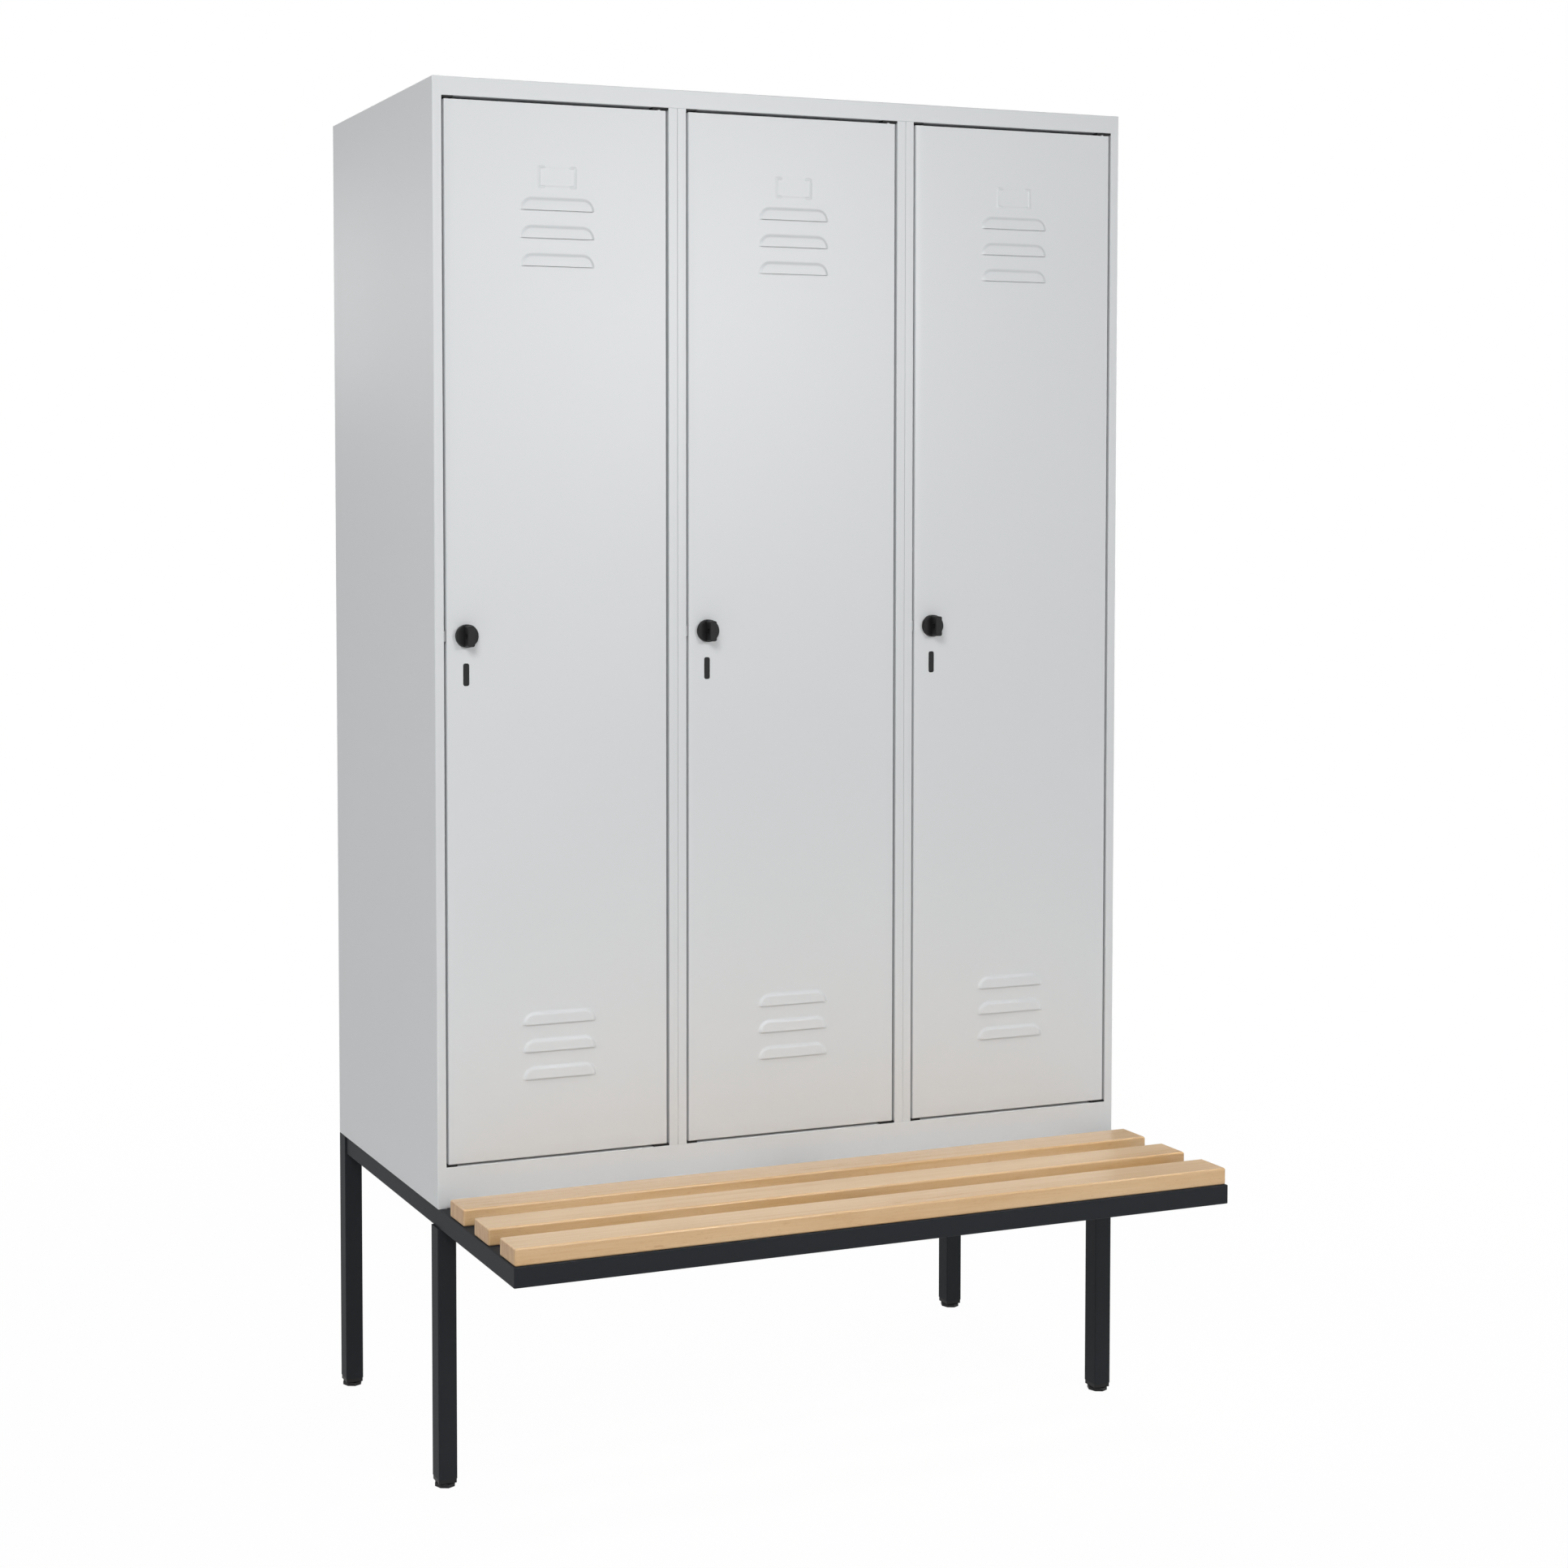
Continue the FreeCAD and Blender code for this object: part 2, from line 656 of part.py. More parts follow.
def make_bushes():
    """Bushes for the hinge pins, and buffers that the closed doors rest against."""
    bushes = []
    buffers = []
    header_low = f"({TOP} - header_height)"
    for place, hand, z in (("top", 1, header_low), ("bottom", -1, OPENING_LOW)):
        bush = new_body(f"{place}_bush", node=False)
        plate = sketch_on(bush, "XY_Plane")
        edge = "(hinge_inset + reveal - fit)"
        near = "(bush_setback - hinge_setback)"
        rectangle(plate, f"{edge} - bush_length", near, edge, f"{near} + bush_depth")
        pad(bush, plate, "bush_thick", reverse=hand > 0)
        boss = sketch_on(bush, "XY_Plane")
        circle(boss, "0", "0", "boss_radius")
        pad(bush, boss, "sheet + boss_rise", reverse=hand < 0)
        bore = sketch_on(bush, "XY_Plane", f"{hand} * (0 - bush_thick)")
        circle(bore, "0", "0", "pin_radius + running")
        pocket(bush, bore, "bush_thick + sheet + boss_rise", reverse=hand > 0)
        buffer = new_body(f"{place}_buffer", node=False)
        side = sketch_on(buffer, "YZ_Plane")
        stop = "(door_depth + fit)"
        level = f"{hand} * (0 - bush_thick)"
        drop = f"{hand} * (0 - buffer_drop)"
        outline(side, [
            ("bush_setback", "0"),
            ("bush_setback", level),
            (stop, level),
            (stop, drop),
            (f"{stop} + buffer_stop", drop),
            (f"{stop} + buffer_stop", "0"),
        ])
        pad(buffer, side, "buffer_length")
        for k in range(len(BAYS)):
            bushes.append(copy_of(bush, hinge_x(k), f"{FRONT} + hinge_setback", z))
            buffers.append(copy_of(buffer, f"{bay_left(k)} + stile + fit", FRONT, z))
    group("hinge_bushes", bushes)
    group("door_buffers", buffers)
    strike = new_body("strike_plate", node=False)
    plan = sketch_on(strike, "XY_Plane")
    rectangle(plan, "0", "strike_setback", "strike_thick", "lip_depth")
    pad(strike, plan, "strike_height")
    z = f"{door_low()} + {LOCK_HEIGHT} - strike_height / 2"
    group("strike_plates", [copy_of(strike, f"{bay_left(k)} + stile", FRONT, z) for k in range(len(BAYS))])


def hood(body, depth, half, radius, low):
    """One outline of a louvre: a straight slit below and rounded shoulders above."""
    sketch = sketch_on(body, "XZ_Plane", depth)
    middle = f"{DOOR_WIDTH} / 2"
    outline(sketch, [
        (f"{middle} - {half}", low),
        (f"{middle} + {half}", low, radius, 1),
        (f"{middle} + {half} - {radius}", f"{low} + {radius}"),
        (f"{middle} - {half} + {radius}", f"{low} + {radius}", radius, 1),
    ])
    return sketch


def louvre_bank(body, low):
    """Louvres pressed out of the door one above another, each open along its lower edge."""
    half = "louvre_width / 2"
    steps = []
    for kind, inset, start, end in (
        ("AdditiveLoft", "0", "0", "louvre_lift"),
        ("SubtractiveLoft", "sheet", "0 - sheet", "louvre_lift - sheet"),
    ):
        rim = hood(body, start, f"({half} - {inset})", f"(louvre_height - {inset})", low)
        inner = f"(louvre_rim + {inset})"
        face = hood(body, end, f"({half} - {inner})", f"(louvre_height - {inner})", low)
        steps.append(feature(body, kind, Profile=rim, Sections=[face], Ruled=True))
    feature(
        body, "LinearPattern", Originals=steps, Direction=(reference(body, "Z_Axis"), [""]),
        Occurrences=LOUVRES, Length=f"louvre_pitch * {LOUVRES - 1}",
    )


def make_door_panel(name, k):
    """A door folded as a pan, with returned edges, louvres, a label holder and the holes for its lock."""
    body = new_body(f"{name}_door_panel", door_left(k), FRONT, door_low())
    front = sketch_on(body, "XZ_Plane")
    rectangle(front, "0", "0", DOOR_WIDTH, DOOR_HEIGHT)
    block = pad(body, front, "door_depth", reverse=True)
    soft = round_off(body, block, edges(block, y="0"), "fold")
    shell(body, soft, faces(soft, y="door_depth"), "sheet")
    returns = sketch_on(body, "XZ_Plane", "0 - door_depth")
    rectangle(returns, "0", "0", DOOR_WIDTH, DOOR_HEIGHT)
    inside = (f"{DOOR_WIDTH} - door_return", f"{DOOR_HEIGHT} - door_return")
    rectangle(returns, "door_return", "door_return", *inside)
    pad(body, returns, "sheet")
    louvre_bank(body, "lower_bank_rise")
    louvre_bank(body, f"{DOOR_HEIGHT} - upper_bank_drop - louvre_pitch * {LOUVRES - 1}")
    brackets = sketch_on(body, "XZ_Plane")
    high = f"({DOOR_HEIGHT} - label_drop)"
    low = f"({high} - label_height)"
    for hand in (-1, 1):
        outer = f"({DOOR_WIDTH} / 2 + {hand} * label_width / 2)"
        arm = f"{outer} - {hand} * label_arm"
        inner = f"{outer} - {hand} * label_rim"
        outline(brackets, [
            (outer, low), (arm, low), (arm, f"{low} + label_rim"), (inner, f"{low} + label_rim"),
            (inner, f"{high} - label_rim"), (arm, f"{high} - label_rim"), (arm, high), (outer, high),
        ])
    pad(body, brackets, "label_lift")
    card = sketch_on(body, "XZ_Plane")
    half = "(label_width / 2 - label_rim)"
    sides = (f"{DOOR_WIDTH} / 2 - {half}", f"{DOOR_WIDTH} / 2 + {half}")
    rectangle(card, sides[0], f"{low} + label_rim", sides[1], f"{high} - label_rim")
    pocket(body, card, "label_sink")
    holes = sketch_on(body, "XZ_Plane")
    circle(holes, "lock_inset", LOCK_HEIGHT, "collar_radius + fit")
    pocket(body, holes, "2 * sheet")
    slot = sketch_on(body, "XZ_Plane")
    rectangle(slot, *slot_edges(f"{LOCK_HEIGHT} - slot_drop", "lock_inset", "0"))
    cut = pocket(body, slot, "2 * sheet")
    round_off(body, cut, slot_corners(cut), "slot_round")
    for level in ("0", f"{DOOR_HEIGHT} - 2 * sheet"):
        drill = sketch_on(body, "XY_Plane", level)
        circle(drill, f"{DOOR_WIDTH} - hinge_inset", "hinge_setback", "pin_radius + fit")
        pocket(body, drill, "2 * sheet", reverse=True)


def slot_edges(middle, across, play):
    """Left, low, right and high edges of the slot below the knob, drawn in by some play."""
    half = f"(slot_width / 2 - {play})"
    rise = f"(slot_height / 2 - {play})"
    return f"{across} - {half}", f"{middle} - {rise}", f"{across} + {half}", f"{middle} + {rise}"


def slot_corners(cut):
    """Names of the four short edges at the slot's corners."""
    found = []
    left, low, right, high = slot_edges(f"{LOCK_HEIGHT} - slot_drop", "lock_inset", "0")
    for x in (left, right):
        for z in (low, high):
            found += edges(cut, x=x, z=z)
    return found


def make_stiffener(name, k):
    """A hat-shaped stiffener inside the door, between the two banks of louvres."""
    low = f"(lower_bank_rise + louvre_pitch * {LOUVRES - 1} + louvre_height + hat_margin)"
    high = f"({DOOR_HEIGHT} - upper_bank_drop - louvre_pitch * {LOUVRES - 1} - hat_margin)"
    x = f"{door_left(k)} + {DOOR_WIDTH} / 2"
    body = new_body(f"{name}_door_stiffener", x, f"{FRONT} + sheet", f"{door_low()} + {low}")
    plan = sketch_on(body, "XY_Plane")
    half = "hat_width / 2"
    right = [
        (f"{half} - sheet", "0"), (f"{half} + hat_flange", "0"), (f"{half} + hat_flange", "sheet"),
        (half, "sheet"), (half, "hat_depth"),
    ]
    left = [(f"0 - ({across})", up) for across, up in reversed(right)]
    under = [(f"sheet - {half}", "hat_depth - sheet"), (f"{half} - sheet", "hat_depth - sheet")]
    outline(plan, right + left + under)
    folded = pad(body, plan, f"{high} - {low}")
    bends = edges(folded, x=half, y="hat_depth") + edges(folded, x=f"0 - {half}", y="hat_depth")
    round_off(body, folded, bends, "fold")


def make_pins(name, k):
    """The two pins that the door turns on, with their heads inside its folded ends."""
    pins = []
    for hand, z in ((1, f"{door_low()} + {DOOR_HEIGHT}"), (-1, door_low())):
        tip = f"{hand} * (reveal + sheet + boss_rise)"
        seat = f"{hand} * (0 - sheet)"
        head = f"{hand} * (0 - sheet - pin_head)"
        pin = turned(f"{name}_{'upper' if hand > 0 else 'lower'}_pin", [
            ("0", head), ("pin_head_radius", head), ("pin_head_radius", seat),
            ("pin_radius", seat), ("pin_radius", tip), ("0", tip),
        ], node=False)
        move(pin, hinge_x(k), f"{FRONT} + hinge_setback", z)
        pins.append(pin)
    group(f"{name}_hinge_pins", pins)


def make_lock(name, k):
    """The lock case in the door, and the knob and cam that turn in it."""
    x = f"{door_left(k)} + lock_inset"
    z = f"{door_low()} + {LOCK_HEIGHT}"
    case = new_body(f"{name}_lock_case", x, FRONT, z)
    back = sketch_on(case, "XZ_Plane", "0 - sheet")
    rectangle(back, "0 - case_width / 2", "0 - case_under", "case_width / 2", "case_over")
    block = pad(case, back, "case_depth", reverse=True)
    rounded = round_off(case, block, edges_along(block, "y"), "case_round")
    round_off(case, rounded, edges(rounded, y="sheet + case_depth"), "fold")
    collar = sketch_on(case, "XZ_Plane")
    circle(collar, "0", "0", "collar_radius")
    pad(case, collar, "2 * sheet", reverse=True)
    tongue = sketch_on(case, "XZ_Plane", "0 - slot_sink")
    rectangle(tongue, *slot_edges("0 - slot_drop", "0", "fit"))
    raised = pad(case, tongue, "sheet", reverse=True)
    corners = []
    for edge_x in slot_edges("0 - slot_drop", "0", "fit")[::2]:
        for edge_z in slot_edges("0 - slot_drop", "0", "fit")[1::2]:
            corners += edges(raised, x=edge_x, z=edge_z)
    round_off(case, raised, corners, "slot_round - fit")
    bore = sketch_on(case, "XZ_Plane")
    circle(bore, "0", "0", "spindle_radius + running")
    pocket(case, bore, "sheet + case_depth + overrun")
    make_knob(f"{name}_knob", x, z)
    make_cam(f"{name}_cam", x, z)


def make_knob(label, x, z):
    """A round knob on its spindle, with a raised grip that a padlock's shackle passes through."""
    body = new_body(label, x, FRONT, z)
    half = sketch_on(body, "YZ_Plane")
    rear = "(0 - fit)"
    face = "(0 - fit - knob_base)"
    outline(half, [
        (face, "0"),
        (f"{CAM_FRONT} + cam_thick", "0"),
        (f"{CAM_FRONT} + cam_thick", "tenon_radius"),
        (CAM_FRONT, "tenon_radius"),
        (CAM_FRONT, "spindle_radius"),
        (rear, "spindle_radius"),
        (rear, "knob_radius"),
        (f"{face} + knob_edge", "knob_radius", "knob_edge", 1),
        (face, "knob_radius - knob_edge"),
    ])
    feature(body, "Revolution", Profile=half, ReferenceAxis=(half, ["H_Axis"]))
    low = grip_outline(body, "fit + knob_base / 2", "grip_width / 2", "(knob_radius - grip_inset)")
    end = "fit + knob_base + grip_rise"
    slim = "(grip_width / 2 - grip_taper)"
    high = grip_outline(body, end, slim, "(knob_radius - grip_inset - grip_slope)")
    grip = feature(body, "AdditiveLoft", Profile=low, Sections=[high], Ruled=True)
    soft = round_off(body, grip, grip_edges(grip), "grip_corner")
    round_off(body, soft, edges(soft, y=f"{face} - grip_rise"), "grip_round")
    shackle = sketch_on(body, "YZ_Plane", "0 - knob_radius")
    circle(shackle, f"{face} - grip_rise * shackle_place_share", "0", "shackle_radius")
    pocket(body, shackle, "2 * knob_radius", reverse=True)


def grip_outline(body, depth, half, sweep):
    """A bar across the knob with straight flanks and swept ends."""
    bar = sketch_on(body, "XZ_Plane", depth)
    reach = f"sqrt({sweep} ^ 2 - ({half}) ^ 2)"
    outline(bar, [
        (f"0 - {half}", f"0 - {reach}", sweep, 1),
        (half, f"0 - {reach}"),
        (half, reach, sweep, 1),
        (f"0 - {half}", reach),
    ])
    return bar


def grip_edges(grip):
    """Names of the four sloping edges between the flanks and the ends of the grip."""
    low = amount("0 - fit - knob_base")
    high = amount("0 - fit - knob_base - grip_rise")
    names = []
    for k, edge in enumerate(grip.Shape.Edges, start=1):
        ends = sorted(corner.Y for corner in edge.Vertexes)
        if abs(ends[0] - high) < 1e-5 and abs(ends[-1] - low) < 1e-5:
            names.append(f"Edge{k}")
    return names


def make_cam(label, x, z):
    """The cam on the spindle's tenon: it hangs clear, and a quarter turn puts it behind a stile."""
    body = new_body(label, x, f"{FRONT} + {CAM_FRONT}", z)
    plate = sketch_on(body, "XZ_Plane")
    half = "cam_width / 2"
    rectangle(plate, f"0 - {half}", "0 - cam_reach", half, half)
    circle(plate, "0", "0", "tenon_radius + running")
    bar = pad(body, plate, "cam_thick", reverse=True)
    corners = []
    for edge_x in (f"0 - {half}", half):
        for edge_z in ("0 - cam_reach", half):
            corners += edges(bar, x=edge_x, z=edge_z)
    round_off(body, bar, corners, "cam_width / 4")


def make_inside():
    """A hat shelf, a coat rail in two sockets and a pair of coat hooks in each compartment."""
    socket = turned("rail_socket", [
        ("0", "0"), ("socket_radius", "0"), ("socket_radius", "socket_depth"),
        ("rail_radius + fit", "socket_depth"), ("rail_radius + fit", "socket_plate"), ("0", "socket_plate"),
    ], node=False)
    hook = make_hook()
    to_right = FreeCAD.Rotation(FreeCAD.Vector(0, 1, 0), 90)
    to_left = FreeCAD.Rotation(FreeCAD.Vector(0, 1, 0), -90)
    half_turn = FreeCAD.Rotation(FreeCAD.Vector(0, 0, 1), 180)
    sockets = []
    hooks = []
    for k, name in enumerate(BAYS):
        left = f"({bay_left(k)} + {WALL} + fit)"
        right = f"({left} + {ROOM})"
        shelf = new_body(f"{name}_hat_shelf", left, f"{FRONT} + shelf_setback", f"{SHELF_TOP} - shelf_flange")
        plan = sketch_on(shelf, "XY_Plane")
        rectangle(plan, "0", "0", ROOM, "cabinet_depth - shelf_setback - 3 * sheet - fit")
        block = pad(shelf, plan, "shelf_flange")
        tray = shell(shelf, block, faces(block, z="0"), "sheet")
        round_off(shelf, tray, edges(tray, y="0", z="shelf_flange"), "fold")
        y = f"({FRONT} + rail_setback)"
        z = f"({SHELF_TOP} - rail_drop)"
        length = f"({ROOM} - 2 * socket_plate - 2 * fit)"
        rail = turned(f"{name}_coat_rail", [
            ("rail_radius - rail_wall", "0"), ("rail_radius", "0"),
            ("rail_radius", length), ("rail_radius - rail_wall", length),
        ])
        rail.Placement = FreeCAD.Placement(FreeCAD.Vector(), to_right)
        move(rail, f"{left} + socket_plate + fit", y, z)
        sockets += [copy_of(socket, left, y, z, to_right), copy_of(socket, right, y, z, to_left)]
        y = f"({FRONT} + hook_setback)"
        z = f"({SHELF_TOP} - hook_drop)"
        near = f"{y} - hook_width / 2"
        far = f"{y} + hook_width / 2"
        hooks += [copy_of(hook, left, far, z), copy_of(hook, right, near, z, half_turn)]
    group("coat_rail_sockets", sockets)
    group("coat_hooks", hooks)


def make_hook():
    """A coat hook bent from strip, with its back against a wall at its left."""
    body = new_body("coat_hook", node=False)
    side = sketch_on(body, "XZ_Plane")
    outline(side, [
        ("0", "0"), ("hook_reach", "0"), ("hook_reach", "hook_tip"), ("hook_reach - hook_thick", "hook_tip"),
        ("hook_reach - hook_thick", "hook_thick"), ("hook_thick", "hook_thick"),
        ("hook_thick", "hook_height"), ("0", "hook_height"),
    ])
    strip = pad(body, side, "hook_width")
    outer = edges(strip, x="0", z="0") + edges(strip, x="hook_reach", z="0")
    bent = round_off(body, strip, outer, "hook_bend + hook_thick")
    inner = edges(bent, x="hook_thick", z="hook_thick")
    inner += edges(bent, x="hook_reach - hook_thick", z="hook_thick")
    round_off(body, bent, inner, "hook_bend")
    return body


def make_bolts():
    """Bolts that hold the cabinet's side panels down on the side rails."""
    bolt = turned("frame_bolt", [
        ("0", "0 - bolt_length"), ("bolt_radius", "0 - bolt_length"), ("bolt_radius", "0"),
        ("bolt_head_radius", "0"), ("bolt_head_radius", "bolt_head"), ("0", "bolt_head"),
    ], node=False)
    bolts = []
    for x in (f"bolt_inset - {SIDE}", f"{SIDE} - bolt_inset"):
        for y in (f"{FRONT} + bolt_margin", f"{BACK} - bolt_margin"):
            bolts.append(copy_of(bolt, x, y, "frame_height + sheet"))
    group("cabinet_bolts", bolts)


make_frame()
make_feet()
make_seat()
make_walls()
make_ends()
make_bushes()
for bay, bay_name in enumerate(BAYS):
    make_door_panel(bay_name, bay)
    make_stiffener(bay_name, bay)
    make_pins(bay_name, bay)
    make_lock(bay_name, bay)
make_inside()
make_bolts()
doc.recompute()

for thing in doc.Objects:
    if "Invalid" in thing.State or "Error" in thing.State:
        raise RuntimeError(f"{thing.Label} failed: {thing.State}")
for label, thing in nodes.items():
    if thing.Shape.isNull() or not thing.Shape.isValid():
        raise RuntimeError(f"{label} has no valid shape")
os.makedirs("parts", exist_ok=True)
for label, thing in nodes.items():
    thing.Shape.exportStep(f"parts/{label}.step")
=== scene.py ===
"""Looks of a mudroom locker unit: a steel locker on a tube frame, with a slatted seat before its doors."""
import json
import logging
import math
from dataclasses import dataclass, field
from enum import Enum
from typing import Any, Optional, Sequence, Union

import bmesh
import bpy
from mathutils import Matrix, Vector


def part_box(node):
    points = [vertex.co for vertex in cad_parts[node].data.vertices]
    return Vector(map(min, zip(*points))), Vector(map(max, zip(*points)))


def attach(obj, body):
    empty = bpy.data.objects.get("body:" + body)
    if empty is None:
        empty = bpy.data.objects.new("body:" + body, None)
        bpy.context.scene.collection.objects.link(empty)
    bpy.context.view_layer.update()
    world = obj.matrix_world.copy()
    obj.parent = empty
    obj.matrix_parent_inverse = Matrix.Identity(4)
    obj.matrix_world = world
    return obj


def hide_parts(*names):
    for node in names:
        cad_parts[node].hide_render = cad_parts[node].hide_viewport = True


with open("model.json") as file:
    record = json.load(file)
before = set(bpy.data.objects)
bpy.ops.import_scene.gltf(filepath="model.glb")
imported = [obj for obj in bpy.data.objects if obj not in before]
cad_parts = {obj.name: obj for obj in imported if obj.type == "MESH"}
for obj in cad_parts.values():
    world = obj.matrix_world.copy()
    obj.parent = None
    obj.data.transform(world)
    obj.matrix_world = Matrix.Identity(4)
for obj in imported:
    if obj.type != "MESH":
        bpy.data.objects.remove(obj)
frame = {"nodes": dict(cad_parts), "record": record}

log = logging.getLogger("locker")

MM = 0.001
TOUCH = 1e-6  # millimetres within which two places are one
ROUNDING = 1e-9  # of a step
SHARP_FOLD = 32.0  # degrees from which an edge is shaded sharp
MID_NOISE = 0.5
WHITE = (1.0, 1.0, 1.0, 1.0)

Colour = tuple[float, float, float]
Place = tuple[float, float, float]
Point = tuple[float, float]
Span = tuple[float, float]
Value = Union["Wire", float, Sequence[float]]
Socket = Union[int, str]


class Bay(Enum):
    """The compartments, from left to right."""

    LEFT = "left"
    MIDDLE = "middle"
    RIGHT = "right"


class Sum(Enum):
    """The sums that Math nodes do here."""

    ADD = "ADD"
    SUBTRACT = "SUBTRACT"
    MULTIPLY = "MULTIPLY"
    MAXIMUM = "MAXIMUM"
    ABSOLUTE = "ABSOLUTE"


class Wire:
    """A shader socket that takes part in Python sums."""

    def __init__(self, web: "Web", socket: bpy.types.NodeSocket) -> None:
        """Keep the socket and the node tree that it belongs to."""
        self.web = web
        self.socket = socket

    def __add__(self, other: Value) -> "Wire":
        """Sum of two values."""
        return self.web.sum(Sum.ADD, self, other)

    def __radd__(self, other: Value) -> "Wire":
        """Sum of two values, the other first."""
        return self.web.sum(Sum.ADD, other, self)

    def __sub__(self, other: Value) -> "Wire":
        """Difference of two values."""
        return self.web.sum(Sum.SUBTRACT, self, other)

    def __rsub__(self, other: Value) -> "Wire":
        """Difference of two values, the other first."""
        return self.web.sum(Sum.SUBTRACT, other, self)

    def __mul__(self, other: Value) -> "Wire":
        """Product of two values."""
        return self.web.sum(Sum.MULTIPLY, self, other)

    def __rmul__(self, other: Value) -> "Wire":
        """Product of two values, the other first."""
        return self.web.sum(Sum.MULTIPLY, other, self)


class Web:
    """A node tree under construction."""

    def __init__(self, tree: bpy.types.NodeTree, ending: str) -> None:
        """Empty a tree and give it its output.

        Args:
            tree: The tree of a material or a world.
            ending: The output node's type, without its prefix.
        """
        self.tree = tree
        tree.nodes.clear()
        self.ending = self.add(ending)

    def add(
        self,
        kind: str,
        settings: Optional[dict[str, Any]] = None,
        inputs: Optional[dict[Socket, Value]] = None,
    ) -> bpy.types.Node:
        """Add any node.

        Args:
            kind: The node's type, without its prefix.
            settings: Properties to set first.
            inputs: Values or wires by socket name or number.

        Returns:
            The node.
        """
        made = self.tree.nodes.new("ShaderNode" + kind)
        for name, value in (settings or {}).items():
            setattr(made, name, value)
        for name, value in (inputs or {}).items():
            if isinstance(value, Wire):
                self.tree.links.new(value.socket, made.inputs[name])
            else:
                made.inputs[name].default_value = value
        return made

    def node(
        self,
        kind: str,
        settings: Optional[dict[str, Any]] = None,
        inputs: Optional[dict[Socket, Value]] = None,
        output: Socket = 0,
    ) -> Wire:
        """Add any node, as add does, and hand back the wire from one of its outputs."""
        return Wire(self, self.add(kind, settings, inputs).outputs[output])

    def sum(self, kind: Sum, *values: Value) -> Wire:
        """Add a Math node on one or two values."""
        return self.node("Math", {"operation": kind.value}, dict(enumerate(values)))

    def finish(self, shader: Wire) -> None:
        """Link the whole shader to the output."""
        self.tree.links.new(shader.socket, self.ending.inputs[0])

    def backdrop_rays(self) -> Wire:
        """Tell the rays that see the white background from those that light the unit.

        Returns:
            A value of 1 for the first and 0 for the others.
        """
        seen = self.node("LightPath", output="Is Camera Ray")
        mirrored = self.node("LightPath", output="Is Glossy Ray")
        through = self.node("LightPath", output="Is Transmission Ray")
        return self.sum(Sum.MAXIMUM, seen, mirrored + through)


@dataclass(frozen=True)
class Layer:
    """One layer of soft random values over a finish."""

    scale: float
    detail: float = 2.0
    rough: float = 0.5
    stretch: Place = (1.0, 1.0, 1.0)


class Shade(Web):
    """A material under construction, with one principled surface."""

    def __init__(self, name: str) -> None:
        """Start an empty material.

        Args:
            name: The finish's name.
        """
        self.material = bpy.data.materials.new(name)
        self.material.use_nodes = True
        super().__init__(self.material.node_tree, "OutputMaterial")
        self.surface = self.add("BsdfPrincipled")
        self.body = Wire(self, self.surface.outputs[0])
        self.finish(self.body)

    def place(self, stretch: Place = (1.0, 1.0, 1.0)) -> Wire:
        """Coordinates on the piece in metres, stretched along each axis."""
        spot = self.node("TexCoord", output="Object")
        return self.node("VectorMath", {"operation": "MULTIPLY"}, {0: spot, 1: stretch})

    def noise(self, layer: Layer) -> Wire:
        """Soft random values from 0 to 1."""
        sizes = {"Scale": layer.scale, "Detail": layer.detail, "Roughness": layer.rough}
        return self.node("TexNoise", None, {"Vector": self.place(layer.stretch), **sizes})

    def swing(self, layer: Wire, reach: float) -> Wire:
        """The values of a layer about zero, over a reach."""
        return reach * (layer - MID_NOISE)

    def step(self, value: Wire, span: Span) -> Wire:
        """A smooth step from 0 at one end of a span to 1 at the other."""
        ends = {"Value": value, "From Min": span[0], "From Max": span[1]}
        return self.node("MapRange", {"interpolation_type": "SMOOTHSTEP"}, ends)

    def facing(self, axis: str, span: Span) -> Wire:
        """A value of 1 where the surface faces along an axis of the piece, either way, and 0 elsewhere.

        Args:
            axis: The letter of the axis.
            span: The shares of that axis in the surface's direction at which the value is 0 and 1.

        Returns:
            The value.
        """
        direction = self.node("TexCoord", output="Normal")
        part = self.node("SeparateXYZ", None, {0: direction}, axis)
        return self.step(self.sum(Sum.ABSOLUTE, part), span)

    def blend(self, share: Value, first: Value, second: Value) -> Wire:
        """A colour between two colours."""
        ends = [value if isinstance(value, Wire) else (*value, 1.0) for value in (first, second)]
        return self.node("Mix", {"data_type": "RGBA"}, {0: share, 6: ends[0], 7: ends[1]}, 2)

    def hold(self, **sockets: Value) -> None:
        """Set what is the same all over the surface, with spaces in socket names written as underscores."""
        for name, value in sockets.items():
            self.surface.inputs[name.replace("_", " ")].default_value = value

    def feed(self, socket: str, wire: Wire) -> None:
        """Link what changes over the surface."""
        self.tree.links.new(wire.socket, self.surface.inputs[socket])

    def raise_by(self, height: Wire, depth: float, strength: float = 1.0) -> None:
        """Roughen the surface by a height from 0 to 1, over a depth in metres."""
        settings = {"Strength": strength, "Distance": depth, "Height": height}
        self.feed("Normal", self.node("Bump", None, settings))


def toned(colour: Colour, share: float) -> Colour:
    """A colour made darker or lighter."""
    return tuple(share * part for part in colour)


